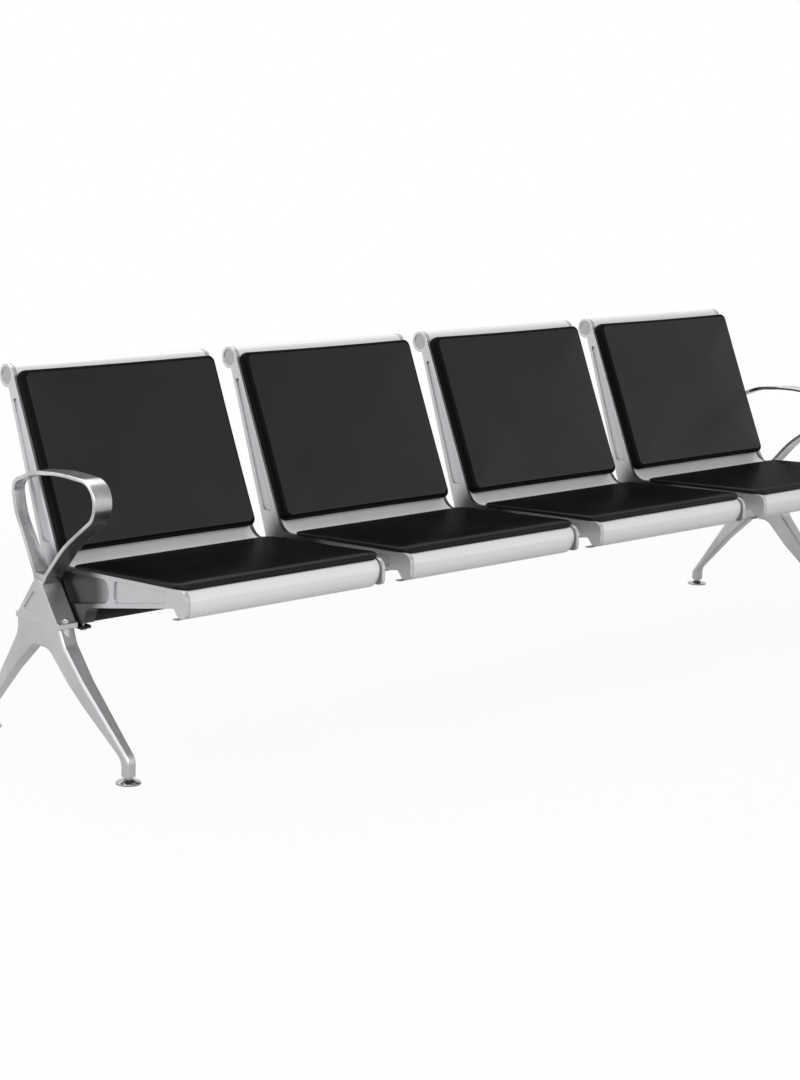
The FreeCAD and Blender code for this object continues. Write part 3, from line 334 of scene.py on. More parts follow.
@dataclass(frozen=True)
class SilverCoat(Finish):
    """Satin silver powder coat on sheet and castings: a fine orange peel with a faint metal fleck, and
    painted shade in joints.
    """

    colour: Colour = (0.84, 0.845, 0.855)
    shade: Colour = (0.77, 0.775, 0.79)
    worn: Colour = (0.80, 0.81, 0.82)
    grime_and_shade: Colour = (0.16, 0.16, 0.165)
    fleck_per_metre: float = 5200.0
    fleck_share: float = 0.6
    drift_per_metre: float = 7.0
    drift_share: float = 0.5
    wear_share: float = 0.5
    joint_reach: float = 0.009
    joint_shade_and_grime: float = 0.65
    seat_pitch: float = 0.580
    seam_place: float = 0.2453
    seam_half: float = 0.0024
    seam_shadow_and_grime: float = 0.80
    metallic: float = 0.22
    roughness: float = 0.34
    drift_rough: float = 0.10
    rub_per_metre: Triple = (38.0, 160.0, 160.0)
    rub_rough: float = 0.06
    wear_smooth: float = 0.06
    peel_per_metre: float = 620.0
    peel_depth: float = 0.00003
    edge_radius: float = 0.0007

    def drift(self, tree: ShaderTree) -> Wire:
        """Return the slow change over the coat, from 0 to 1."""
        return tree.noise(self.drift_per_metre, detail=3.0)

    def base(self, tree: ShaderTree) -> Wire:
        """Give the coat its colour: fleck and drift, paler on worn edges, with painted shade and some grime
        in joints and corners.

        The joint between a sheet and its frames is a painted line of shadow and dirt at an even distance from
        each seat's middle, which is |fraction(x / pitch) - 1/2| * pitch away, as the seats' middles are at
        odd half pitches.

        Args:
            tree: the tree that the nodes are added to.

        Returns:
            The colour.
        """
        fleck = tree.noise(self.fleck_per_metre, detail=1.0)
        lively = fleck.around(0.5, self.fleck_share) + self.drift(tree) * self.drift_share
        colour = tree.mix(lively, self.shade, self.colour)
        colour = tree.mix(tree.edge_mask(self.edge_radius) * self.wear_share, colour, self.worn)
        seats = tree.place(1.0 / self.seat_pitch)
        across = tree.add("ShaderNodeSeparateXYZ", {}, {"Vector": seats}, "X")
        from_middle = (across.apply("FRACT") - 0.5).apply("ABSOLUTE") * self.seat_pitch
        # painted shadow line, with some dirt, along the open joint between each sheet and its frame rims
        seam = from_middle.band(self.seam_place, self.seam_half) * self.seam_shadow_and_grime
        # the ambient occlusion darkening is painted shade in joints and corners, with some grime
        return tree.mix(tree.crevice(self.joint_reach) * self.joint_shade_and_grime + seam, colour, self.grime_and_shade)

    def paint(self, tree: ShaderTree) -> None:
        """Add the coat's nodes to a tree."""
        worn = tree.edge_mask(self.edge_radius)
        colour = self.base(tree)
        peel = tree.noise(self.peel_per_metre, detail=2.0)
        rub = tree.noise(self.rub_per_metre, detail=4.0, roughness=0.7)
        handled = self.drift(tree).around(0.5, self.drift_rough) + rub.around(0.5, self.rub_rough)
        rough = self.roughness + handled - worn * self.wear_smooth
        normal = tree.bump(peel, self.peel_depth, tree.soft_edges(self.edge_radius))
        tree.surface(base_color=colour, metallic=self.metallic, roughness=rough, normal=normal)


@dataclass(frozen=True)
class FrameCoat(SilverCoat):
    """The silver coat of the side frames: painted shade in their hollows and round the hub, with a bare
    turned face on each roll end.
    """

    # hollow_* and hub_* set painted shade in the frames' hollows and round the beam hub
    hollow_reach: float = 0.120
    hollow_shade: float = 0.90
    hub_middle: Spread = (0.040, 0.345)
    hub_reach: Spread = (0.062, 0.122)
    hub_shade: float = 0.96
    hub_shade_colour: Colour = (0.05, 0.05, 0.053)
    roll_middle: Spread = (0.2769, 0.7430)
    roll_face: float = 0.0176
    roll_rim: float = 0.0006
    rings_per_metre: float = 9000.0
    ring_share: float = 0.1
    turned_share: float = 0.75
    turned: Colour = (0.36, 0.365, 0.375)

    def distance(self, tree: ShaderTree, middle: Spread) -> Wire:
        """Return the distance from a line along X through a place in Y and Z."""
        away = (0.0, -middle[0], -middle[1])
        flat = {"Vector": tree.place(), "Location": away, "Scale": (0.0, 1.0, 1.0)}
        return tree.length(tree.add("ShaderNodeMapping", {"vector_type": "POINT"}, flat))

    def base(self, tree: ShaderTree) -> Wire:
        """Return the coat's colour, with painted shade in the hollows and round the hub, and the turned roll
        ends.
        """
        # painted shade: hollows and faces turned towards the next seat darken where shade falls
        hollow = tree.crevice(self.hollow_reach) * self.hollow_shade
        colour = tree.mix(hollow, super().base(tree), self.grime_and_shade)
        # painted shade: the frame's face round the beam hub, beside the saddle, is darkened as if in shadow
        hub = 1.0 - self.distance(tree, self.hub_middle).between(*self.hub_reach)
        colour = tree.mix(hub * self.hub_shade, colour, self.hub_shade_colour)
        away = self.distance(tree, self.roll_middle)
        rings = (away * self.rings_per_metre).apply("SINE") * self.ring_share
        face = 1.0 - away.between(self.roll_face, self.roll_face + self.roll_rim)
        return tree.mix(face * (self.turned_share + rings), colour, self.turned)


@dataclass(frozen=True)
class PolishedCasting(Finish):
    """Cast aluminium, finely sanded all over and buffed brighter on its edges, with a few cast pits and
    painted shade, with some grime, in its joints and corners.
    """

    colour: Colour = (0.67, 0.675, 0.685)
    shade: Colour = (0.56, 0.565, 0.575)
    buffed: Colour = (0.68, 0.685, 0.69)
    grime_and_shade: Colour = (0.12, 0.12, 0.125)
    grime_and_shade_reach: float = 0.016
    grime_and_shade_share: float = 0.85
    roughness: float = 0.34
    cloud_per_metre: float = 11.0
    cloud_range: Spread = (0.30, 0.70)
    cloud_share: float = 0.7
    cloud_rough: float = 0.07
    grain_per_metre: float = 2600.0
    grain_share: float = 0.3
    grain_rough: float = 0.05
    grain_depth: float = 0.000004
    pits_per_metre: float = 210.0
    pit_range: Spread = (0.005, 0.05)
    pit_depth: float = 0.000010
    buff_share: float = 0.6
    buff_smooth: float = 0.05
    edge_radius: float = 0.0016

    def paint(self, tree: ShaderTree) -> None:
        """Add the casting's nodes to a tree."""
        worn = tree.edge_mask(self.edge_radius)
        cloud = tree.noise(self.cloud_per_metre, detail=3.0, roughness=0.5)
        grain = tree.noise(self.grain_per_metre, detail=2.0, roughness=0.6)
        cells = {"Vector": tree.place(self.pits_per_metre), "Scale": 1.0, "Randomness": 1.0}
        pits = tree.add("ShaderNodeTexVoronoi", {"feature": "F1"}, cells).between(*self.pit_range)
        pale = cloud.between(*self.cloud_range) * self.cloud_share + grain * self.grain_share
        colour = tree.mix(pale, self.shade, self.colour)
        colour = tree.mix(worn * self.buff_share, colour, self.buffed)
        # the ambient occlusion darkening is painted shade in joints and corners, with some grime
        colour = tree.mix(tree.crevice(self.grime_and_shade_reach) * self.grime_and_shade_share, colour, self.grime_and_shade)
        uneven = cloud.around(0.5, self.cloud_rough) + grain.around(0.5, self.grain_rough)
        rough = self.roughness + uneven - worn * self.buff_smooth
        sanded = tree.bump(grain, self.grain_depth, tree.soft_edges(self.edge_radius))
        normal = tree.bump(pits, self.pit_depth, sanded)
        tree.surface(base_color=colour, metallic=1.0, roughness=rough, normal=normal)


@dataclass(frozen=True)
class BlackCoat(Finish):
    """Black powder coat on the beam and the clamp plates."""

    colour: Colour = (0.010, 0.010, 0.011)
    rubbed: Colour = (0.05, 0.05, 0.055)
    wear_share: float = 0.5
    dust_per_metre: float = 12.0
    dust_range: Spread = (0.55, 0.8)
    dust_share: float = 0.2
    dust_rough: float = 0.2
    roughness: float = 0.55
    shine: float = 0.3
    peel_per_metre: float = 480.0
    peel_depth: float = 0.00008
    edge_radius: float = 0.0008

    def paint(self, tree: ShaderTree) -> None:
        """Add the coat's nodes to a tree."""
        worn = tree.edge_mask(self.edge_radius) * self.wear_share
        peel = tree.noise(self.peel_per_metre, detail=2.0)
        dust = tree.noise(self.dust_per_metre, detail=5.0, roughness=0.65)
        pale = worn + dust.between(*self.dust_range) * self.dust_share
        colour = tree.mix(pale, self.colour, self.rubbed)
        rough = self.roughness + dust.around(0.5, self.dust_rough)
        normal = tree.bump(peel, self.peel_depth, tree.soft_edges(self.edge_radius))
        tree.surface(base_color=colour, roughness=rough, normal=normal, specular_ior_level=self.shine)


@dataclass(frozen=True)
class BlackLeather(Finish):
    """Smooth black leather cloth: fine pebbled grain, stretch lines, and pores that swallow low light."""

    colour: Colour = (0.0042, 0.0041, 0.0046)
    bloom: Colour = (0.0085, 0.0083, 0.0092)
    thread: Colour = (0.0015, 0.0015, 0.0015)
    seam_half: float = 0.0008
    seam_share: float = 0.8
    rubbed_range: Spread = (0.006, 0.016)
    roughness: float = 0.30
    shine: float = 0.40
    grazing_range: Spread = (0.42, 0.80)
    grazing_loss: float = 0.90
    pebbles_per_metre: float = 950.0
    pebble_edge: float = 0.22
    warp_per_metre: float = 120.0
    hair_per_metre: float = 3600.0
    stretch_per_metre: Triple = (26.0, 9.0, 26.0)
    cloud_per_metre: float = 6.0
    cloud_range: Spread = (0.3, 0.75)
    grain_depth: float = 0.00004

    def paint(self, tree: ShaderTree) -> None:
        """Add the leather's nodes to a tree."""
        height = tree.add("ShaderNodeAttribute", {"attribute_name": "edge_height"}, output="Fac")
        inset = tree.add("ShaderNodeAttribute", {"attribute_name": "edge_inset"}, output="Fac")
        warp = tree.noise(self.warp_per_metre, detail=2.0)
        place = tree.place(self.pebbles_per_metre)
        moved = tree.add("ShaderNodeVectorMath", {"operation": "ADD"}, {0: place, 1: warp})
        cell = {"Vector": moved, "Scale": 1.0, "Randomness": 0.9}
        cells = tree.add("ShaderNodeTexVoronoi", {"feature": "DISTANCE_TO_EDGE"}, cell)
        pebble = cells.between(0.0, self.pebble_edge)
        hair = tree.noise(self.hair_per_metre, detail=1.0)
        stretch = tree.noise(self.stretch_per_metre, detail=4.0, roughness=0.55)
        cloud = tree.noise(self.cloud_per_metre, detail=3.0)
        rubbed = 1.0 - inset.between(*self.rubbed_range)
        pale = cloud.between(*self.cloud_range) * 0.6 + rubbed * 0.25 + pebble * 0.15
        colour = tree.mix(pale, self.colour, self.bloom)
        seam = height.band(0.0, self.seam_half) * self.seam_share
        colour = tree.mix(seam, colour, self.thread)
        uneven = cloud.around(0.5, 0.12) + stretch.around(0.5, 0.08) - pebble * 0.04 - rubbed * 0.03
        rough = self.roughness + uneven
        grained = tree.bump(pebble * 0.5 + hair * 0.2 + stretch * 1.2, self.grain_depth)
        hide = tree.principled(
            base_color=colour, roughness=rough, normal=grained, specular_ior_level=self.shine,
        )
        pores = tree.add("ShaderNodeBsdfDiffuse", {}, {"Color": colour, "Normal": grained})
        facing = tree.add("ShaderNodeLayerWeight", {}, {"Blend": 0.5}, "Facing")
        lost = facing.between(*self.grazing_range) * self.grazing_loss
        tree.finish(tree.add("ShaderNodeMixShader", {}, {0: lost, 1: hide, 2: pores}))


@dataclass(frozen=True)
class Plywood(Finish):
    """Raw plywood boards inside the pads, with long grain and a broader figure."""

    light: Colour = (0.62, 0.47, 0.30)
    dark: Colour = (0.40, 0.27, 0.15)
    grain_per_metre: Triple = (6.0, 240.0, 240.0)
    figure_per_metre: Triple = (1.5, 22.0, 22.0)
    figure_range: Spread = (0.35, 0.65)
    grain_share: float = 0.6
    grain_depth: float = 0.0001
    roughness: float = 0.62
    grain_rough: float = 0.2

    def paint(self, tree: ShaderTree) -> None:
        """Add the wood's nodes to a tree."""
        grain = tree.noise(self.grain_per_metre, detail=5.0, roughness=0.65)
        figure = tree.noise(self.figure_per_metre, detail=3.0).between(*self.figure_range)
        dark = grain * self.grain_share + figure * (1.0 - self.grain_share)
        rough = self.roughness + grain.around(0.5, self.grain_rough)
        normal = tree.bump(grain, self.grain_depth)
        tree.surface(base_color=tree.mix(dark, self.light, self.dark), roughness=rough, normal=normal)


@dataclass(frozen=True)
class FootMetal(Finish):
    """Turned and plated foot plates, dulled a little where the floor rubs them."""

    colour: Colour = (0.42, 0.425, 0.44)
    dirt: Colour = (0.16, 0.16, 0.17)
    dirt_height: float = 0.004
    dirt_share: float = 0.6
    dirt_rough: float = 0.25
    scuffs_per_metre: float = 300.0
    scuff_range: Spread = (0.3, 0.7)
    scuff_rough: float = 0.08
    scuff_depth: float = 0.00002
    roughness: float = 0.16
    edge_radius: float = 0.0005

    def paint(self, tree: ShaderTree) -> None:
        """Add the plating's nodes to a tree."""
        height = tree.add("ShaderNodeSeparateXYZ", {}, {"Vector": tree.place()}, "Z")
        scuff = tree.noise(self.scuffs_per_metre, detail=4.0, roughness=0.7)
        low = 1.0 - height.between(0.0, self.dirt_height)
        dirty = low * self.dirt_share * scuff.between(*self.scuff_range)
        rough = self.roughness + low * self.dirt_rough + scuff.around(0.5, self.scuff_rough)
        normal = tree.bump(scuff, self.scuff_depth, tree.soft_edges(self.edge_radius))
        colour = tree.mix(dirty, self.colour, self.dirt)
        tree.surface(base_color=colour, metallic=1.0, roughness=rough, normal=normal)


@dataclass(frozen=True)
class ZincSteel(Finish):
    """Bright zinc plate on screws and stems, with fine turning marks around Z."""

    colour: Colour = (0.56, 0.57, 0.59)
    tint: Colour = (0.50, 0.52, 0.50)
    cloud_per_metre: float = 90.0
    cloud_range: Spread = (0.35, 0.65)
    marks_per_metre: Triple = (60.0, 60.0, 2600.0)
    mark_rough: float = 0.16
    mark_depth: float = 0.00003
    roughness: float = 0.33
    edge_radius: float = 0.0004

    def paint(self, tree: ShaderTree) -> None:
        """Add the plating's nodes to a tree."""
        turned = tree.noise(self.marks_per_metre, detail=2.0)
        cloud = tree.noise(self.cloud_per_metre, detail=3.0)
        colour = tree.mix(cloud.between(*self.cloud_range), self.colour, self.tint)
        rough = self.roughness + turned.around(0.5, self.mark_rough)
        normal = tree.bump(turned, self.mark_depth, tree.soft_edges(self.edge_radius))
        tree.surface(base_color=colour, metallic=1.0, roughness=rough, normal=normal)


# Upholstered pads

@dataclass(frozen=True)
class PadShape:
    """Sizes of one kind of pad, in millimetres and degrees, on the tilted face of its sheet.

    The near edge is measured from the knee, where the seat turns into the back. The hollow takes the
    board, the seam is a height on the edge, and the edge band ends at band_top.
    """

    label: str
    width: float
    length: float
    corner: float
    near_edge: float
    tilt: float
    edge: float
    crown: float
    hollow: float
    seam: float
    band_top: float
    far_edge_share: float = 1.0
    nose_start: float = -1000.0
    nose_radius: float = 22.0
    knee_y: float = 86.5
    knee_z: float = 381.3

    @property
    def middle(self) -> float:
        """Distance from the knee to the pad's middle, along the sheet."""
        return self.near_edge + self.length / 2

    @property
    def thickness(self) -> float:
        """Height of the pad's middle over the sheet."""
        return self.edge + self.crown

    def lay(self, points: np.ndarray, seat_x: float) -> np.ndarray:
        """Turn flat points onto the tilted sheet of a seat.

        Args:
            points: flat points in millimetres, with the pad's middle at the origin.
            seat_x: the seat's middle along the beam, in millimetres.

        Returns:
            Points in the bench's frame, in metres.
        """
        tilt = math.radians(self.tilt)
        along = points[:, 1] + self.middle
        high = points[:, 2]
        x = points[:, 0] + seat_x
        y = self.knee_y + along * math.cos(tilt) - high * math.sin(tilt)
        z = self.knee_z + along * math.sin(tilt) + high * math.cos(tilt)
        return np.stack([x, y, z], axis=-1) / MM


class PadKind(Enum):
    """The two kinds of pad on each seat."""

    SEAT = PadShape(
        label="seat_pad", width=518.0, length=358.0, corner=26.0, near_edge=-398.0, tilt=-3.4,
        edge=12.0, crown=4.0, hollow=3.5, seam=3.0, band_top=11.9, far_edge_share=0.52, nose_start=-385.0,
    )
    BACK = PadShape(
        label="back_pad", width=499.0, length=383.0, corner=14.0, near_edge=22.7, tilt=65.6,
        edge=23.8, crown=1.2, hollow=9.4, seam=5.4, band_top=24.1,
    )


@dataclass(frozen=True)
class RoundedSlab:
    """A rounded rectangle that any section is carried round, with the same number of points in each ring."""

    width: float
    length: float
    corner: float
    side_points: int = 26
    corner_points: int = 13

    def outline(self) -> tuple[np.ndarray, np.ndarray, np.ndarray]:
        """Points round the rectangle, as shares of its core and directions from the core.

        A point is (share_x * core_x, share_y * core_y) + radius * (cos(turn), sin(turn)), so every inset
        of the outline uses the same shares and turns.

        Returns:
            Shares of the core's half width and half length, and the turn of each point.
        """
        shares_x: list[np.ndarray] = []
        shares_y: list[np.ndarray] = []
        turns: list[np.ndarray] = []
        corners = ((1.0, -1.0), (1.0, 1.0), (-1.0, 1.0), (-1.0, -1.0))
        for number, (sign_x, sign_y) in enumerate(corners):
            next_x, next_y = corners[(number + 1) % 4]
            start = math.radians(-90.0 + 90.0 * number)
            turn = start + np.linspace(0.0, math.pi / 2, self.corner_points)
            shares_x.append(np.full(self.corner_points, sign_x))
            shares_y.append(np.full(self.corner_points, sign_y))
            turns.append(turn)
            way = np.linspace(0.0, 1.0, self.side_points + 2)[1:-1]
            shares_x.append(sign_x + (next_x - sign_x) * way)
            shares_y.append(sign_y + (next_y - sign_y) * way)
            turns.append(np.full(self.side_points, start + math.pi / 2))
        return np.concatenate(shares_x), np.concatenate(shares_y), np.concatenate(turns)

    def carry(self, section: np.ndarray) -> tuple[np.ndarray, np.ndarray, np.ndarray, np.ndarray]:
        """Carry a section round the outline; the corner radius shrinks to nothing near the middle.

        Args:
            section: rows of an inset from the outline and a height, in millimetres.

        Returns:
            The places across and along of each point in rings, the turn of each column, and the quads.
        """
        inset = section[:, 0][:, None]
        share_x, share_y, turn = self.outline()
        radius = np.minimum(self.corner, min(self.width, self.length) / 2 - inset)
        across = share_x * np.maximum(self.width / 2 - inset - radius, 0.0) + radius * np.cos(turn)
        along = share_y * np.maximum(self.length / 2 - inset - radius, 0.0) + radius * np.sin(turn)
        rings, count = across.shape
        ring, place = np.meshgrid(np.arange(rings - 1), np.arange(count), indexing="ij")
        after = (place + 1) % count
        near, far = ring * count, (ring + 1) * count
        quads = np.stack([near + place, near + after, far + after, far + place], axis=-1)
        return across, along, turn, quads.reshape(-1, 4)


@dataclass
class PadMaker:
    """Makes the pads of one kind: one sewn shell, puffed once, and laid on each seat with its own folds."""

    kind: PadKind
    base_height: float = 0.3
    edge_turn: float = 8.0
    crown_reach: float = 20.0
    side_pull: float = 1.4
    pull_height: float = 5.0
    pull_reach: float = 60.0
    pleat_depth: float = 0.3
    pleats: float = 20.0
    voxel: float = 0.005
    frames: int = 20
    pressure: float = 4.0
    stretch: float = 25.0
    bending: float = 1.5
    most_puff: float = 2.6
    fold_height: float = 0.6
    fold_reach: Spread = (4.0, 45.0)
    band_reach: float = 10.0
    puff: np.ndarray | None = field(default=None, repr=False)

    @property
    def half(self) -> float:
        """Half the pad's shorter side, the greatest inset there is."""
        return min(self.kind.value.width, self.kind.value.length) / 2

    def underside(self) -> list[tuple[float, float]]:
        """Section of the hollow underside, from its middle over the board down to the hem's inner rim."""
        hollow = self.kind.value.hollow
        ceiling = [(inset, hollow) for inset in (self.half, self.half / 2, 12.0, 5.2)]
        return [*ceiling, (4.7, hollow - 0.5), (4.7, hollow * 0.33), (4.6, 2 * self.base_height)]

    def side(self) -> list[tuple[float, float]]:
        """Section of the upright edge: the hem, the groove of the seam, and the round turn to the top."""
        seam, edge = self.kind.value.seam, self.kind.value.edge
        hem = [(4.0, self.base_height), (3.0, self.base_height + 0.05)]
        low = ((1.7, 0.19), (0.9, 0.45), (0.6, 0.78), (0.6, 0.9), (1.2, 1.0), (0.5, 1.1), (0.2, 1.26))
        high = ((0.0, 0.46), (0.0, 0.565), (0.3, 0.69), (1.1, 0.81), (2.6, 0.90), (4.8, 0.965), (8.0, 1.0))
        groove = [(inset, share * seam) for inset, share in low]
        return hem + groove + [(inset, share * edge) for inset, share in high]

    def profile(self) -> np.ndarray:
        """Section of the pad, from the middle of its underside round the edge to the middle of its top.

        The top rises from the edge to the crown by crown * (1 - exp((edge_turn - inset) / crown_reach)).

        Returns:
            Rows of an inset from the outline and a height, in millimetres.
        """
        shape = self.kind.value
        insets = np.array([12.5, 19.0, 30.0, 48.0, 72.0, 100.0, 130.0, self.half - 22.0, self.half])
        tops = shape.edge + shape.crown * (1.0 - np.exp((self.edge_turn - insets) / self.crown_reach))
        return np.concatenate([np.array(self.underside() + self.side()), np.stack([insets, tops], axis=-1)])

    def shell(self) -> tuple[np.ndarray, np.ndarray, np.ndarray, np.ndarray]:
        """The pad's closed surface, flat on the plane of the sheet.

        A side is pulled in by a parabola that is deepest at its middle, and small pleats, a fast cosine
        of the turn, gather the cover round each corner.

        Returns:
            Points in rings, quads, and the inset and height of each point.
        """
        shape = self.kind.value
        profile = self.profile()
        across, along, turn, quads = RoundedSlab(shape.width, shape.length, shape.corner).carry(profile)
        inset = profile[:, 0][:, None]
        height = profile[:, 1][:, None]
        outside = (np.arange(len(profile)) >= len(self.underside()))[:, None]
        raised = np.clip(height / self.pull_height, 0.0, 1.0)
        reach = outside * raised * np.clip(1.0 - inset / self.pull_reach, 0.0, 1.0)
        drawn_x = reach * self.side_pull * (1.0 - (2.0 * along / shape.length) ** 2)
        drawn_y = reach * self.side_pull * (1.0 - (2.0 * across / shape.width) ** 2)
        low = outside * np.clip(1.0 - height / shape.thickness, 0.0, 1.0)
        pleat = low * self.pleat_depth * np.sin(2.0 * turn) ** 2 * np.cos(self.pleats * turn)
        across = across - drawn_x * np.cos(turn) - pleat * np.cos(turn)
        along = along - drawn_y * np.sin(turn) - pleat * np.sin(turn)
        points = np.stack([across, along, np.broadcast_to(height, across.shape)], axis=-1)
        insets = np.where(outside, np.broadcast_to(inset, across.shape), UNDERSIDE)
        return points.reshape(-1, 3), quads, insets.ravel(), points[:, :, 2].ravel()

    def swell(self, points: np.ndarray, quads: np.ndarray) -> np.ndarray:
        """Blow the shell up as cloth, pinned to its board, and read how far its top rises.

        Args:
            points: the shell's points, in millimetres.
            quads: its faces.

        Returns:
            The rise on an even grid over the pad, in millimetres.
        """
        shape = self.kind.value
        trial = make_mesh("pad_trial", points / MM, quads)
        remesh = trial.modifiers.new("even", "REMESH")
        remesh.mode = "VOXEL"
        remesh.voxel_size = self.voxel
        bake_modifiers(trial)
        start = read_points(trial.data)
        pinned = trial.vertex_groups.new(name="pinned")
        held = np.flatnonzero(start[:, 2] < shape.thickness / 2 / MM)
        pinned.add(held.tolist(), 1.0, "REPLACE")
        cloth = trial.modifiers.new("skin", "CLOTH")
        cloth.settings.use_pressure = True
        cloth.settings.uniform_pressure_force = self.pressure
        cloth.settings.effector_weights.gravity = 0.0
        cloth.settings.vertex_group_mass = "pinned"
        cloth.settings.tension_stiffness = self.stretch
        cloth.settings.bending_stiffness = self.bending
        cloth.point_cache.frame_start = 1
        cloth.point_cache.frame_end = self.frames
        for frame in range(1, self.frames + 1):
            bpy.context.scene.frame_set(frame)
        view = bpy.context.evaluated_depsgraph_get()
        done = read_points(trial.evaluated_get(view).data)
        bpy.context.scene.frame_set(1)
        bpy.data.objects.remove(trial, do_unlink=True)
        rise = (done - start)[:, 2] * MM
        top = start[:, 2] > (shape.thickness - self.pull_height) / MM
        bins = [
            np.linspace(-shape.width / 2 / MM, shape.width / 2 / MM, 33),
            np.linspace(-shape.length / 2 / MM, shape.length / 2 / MM, 25),
        ]
        total, *_ = np.histogram2d(start[top, 0], start[top, 1], bins, weights=rise[top])
        number, *_ = np.histogram2d(start[top, 0], start[top, 1], bins)
        mean_rise = total / np.maximum(number, 1.0)
        log.info("%s rises by %.2f mm at most", shape.label, mean_rise.max())
        return mean_rise * min(1.0, self.most_puff / max(mean_rise.max(), 1e-6))

    def lift(self, points: np.ndarray, insets: np.ndarray, seat: int) -> np.ndarray:
        """Raise the top by the puffed cloth and by shallow folds that differ from seat to seat.

        The folds are a sum of three long waves across and along the pad, and both fade to nothing at
        the seam.

        Args:
            points: the shell's points, in millimetres.
            insets: the inset of each point.
            seat: the seat's number, which turns the waves.

        Returns:
            The raised points.
        """
        shape = self.kind.value
        on_top = points[:, 2] > shape.edge * 0.85
        start, reach = self.fold_reach
        fade = np.clip((insets - start) / reach, 0.0, 1.0)
        fade = fade * fade * (3 - 2 * fade) * on_top
        u = points[:, 0] / shape.width
        v = points[:, 1] / shape.length
        waves = (
            np.sin(5.1 * u + 2.3 * v + 1.7 * seat)
            + 0.7 * np.sin(8.7 * v - 3.1 * u + 2.9 * seat)
            + 0.4 * np.sin(13.0 * u * v + 4.1 * seat)
        )
        rise = np.zeros(len(points))
        if self.puff is not None:
            rise = sample_grid(self.puff, u + 0.5, v + 0.5)
        lifted = points.copy()
        lifted[:, 2] += fade * (rise + self.fold_height * (waves / 2.1 - 0.4))
        return lifted

    def slim(self, points: np.ndarray, insets: np.ndarray) -> np.ndarray:
        """Thin the edge towards the far side of the pad, and let the near edge follow the sheet's nose.

        The edge's height is multiplied by a share that falls evenly from 1 at the near side to
        far_edge_share at the far side. Past nose_start the pad sinks by radius - sqrt(radius^2 - past^2).

        Args:
            points: the shell's points, in millimetres.
            insets: the inset of each point.

        Returns:
            The changed points.
        """
        shape = self.kind.value
        outside = insets < UNDERSIDE
        share = 1.0 - (1.0 - shape.far_edge_share) * (points[:, 1] / shape.length + 0.5)
        low = np.minimum(points[:, 2], shape.edge)
        past = np.clip(shape.nose_start - (points[:, 1] + shape.middle), 0.0, shape.nose_radius - 1.0)
        sunk = shape.nose_radius - np.sqrt(shape.nose_radius ** 2 - past ** 2)
        thinned = points.copy()
        thinned[:, 2] -= outside * ((low - self.base_height) * (1.0 - share) + sunk)
        return thinned

    def edge_faces(self, quads: np.ndarray, insets: np.ndarray, heights: np.ndarray) -> np.ndarray:
        """Return 1 for each face of the upright edge band and 0 for the rest."""
        inset = insets[quads].mean(axis=1)
        height = heights[quads].mean(axis=1)
        band = (inset < self.band_reach) & (height < self.kind.value.band_top)
        return band.astype(np.int32)

    def make(self, leather: bpy.types.Material, edging: bpy.types.Material) -> None:
        """Make the pads of this kind on all seats.

        Args:
            leather: the material of the top and the underside.
            edging: the duller material of the upright edge band.
        """
        shape = self.kind.value
        points, quads, insets, heights = self.shell()
        self.puff = self.swell(points, quads)
        for seat in SEAT_NUMBERS:
            node = f"{shape.label}_{seat}"
            shaped = self.slim(self.lift(points, insets, seat), insets)
            piece = make_mesh(f"{shape.label}_cover_{seat}", shape.lay(shaped, middle_x(node)), quads)
            write_values(piece.data, "edge_inset", insets / MM)
            write_values(piece.data, "edge_height", (heights - shape.seam) / MM)
            piece.data.materials.append(leather)
            piece.data.materials.append(edging)
            piece.data.polygons.foreach_set("material_index", self.edge_faces(quads, insets, heights))
            close_poles(piece.data)
            subdivide(piece, 1)
            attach(piece, "bench")
            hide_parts(node)
            log.info("made %s for %s", piece.name, node)


@dataclass
class SeatBoard:
    """The thin plywood board inside each seat pad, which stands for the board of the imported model."""

    thickness: float = 3.0
    gap: float = 0.35
    inset: float = 8.0
    corner: float = 20.0
    edge_round: float = 0.4
    flat_reach: float = 30.0

    def make(self, wood: bpy.types.Material) -> None:
        """Make the boards of all seats.

        Args:
            wood: the plywood's material.
        """
        shape = PadKind.SEAT.value
        slab = RoundedSlab(shape.width - 2 * self.inset, shape.length - 2 * self.inset, self.corner)
        half = min(slab.width, slab.length) / 2
        flat = half - self.flat_reach
        low, high, bead = self.gap, self.gap + self.thickness, self.edge_round
        below = [(half, low), (flat, low), (bead, low), (0.0, low + bead)]
        above = [(0.0, high - bead), (bead, high), (flat, high), (half, high)]
        section = np.array(below + above)
        across, along, _, quads = slab.carry(section)
        height = np.broadcast_to(section[:, 1][:, None], across.shape)
        points = np.stack([across, along, height], axis=-1).reshape(-1, 3)
        for seat in SEAT_NUMBERS:
            node = f"seat_board_{seat}"
            piece = make_mesh(f"thin_board_{seat}", shape.lay(points, middle_x(node)), quads)
            piece.data.materials.append(wood)
            close_poles(piece.data)
            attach(piece, "bench")
            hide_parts(node)
            log.info("made %s for %s", piece.name, node)


# Mesh helpers

def middle_x(node: str) -> float:
    """Return the middle of a node's box along the beam, in millimetres."""
    low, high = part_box(node)
    return (low.x + high.x) / 2 * MM


def make_mesh(name: str, points: np.ndarray, quads: np.ndarray) -> bpy.types.Object:
    """Make a mesh object at the origin.

    Args:
        name: the piece's name.
        points: its points in metres.
        quads: its faces.

    Returns:
        The object, smooth shaded and linked to the scene.
    """
    mesh = bpy.data.meshes.new(name)
    mesh.from_pydata(points.tolist(), [], quads.tolist())
    mesh.polygons.foreach_set("use_smooth", np.ones(len(mesh.polygons), dtype=bool))
    mesh.update()
    made = bpy.data.objects.new(name, mesh)
    bpy.context.scene.collection.objects.link(made)
    return made


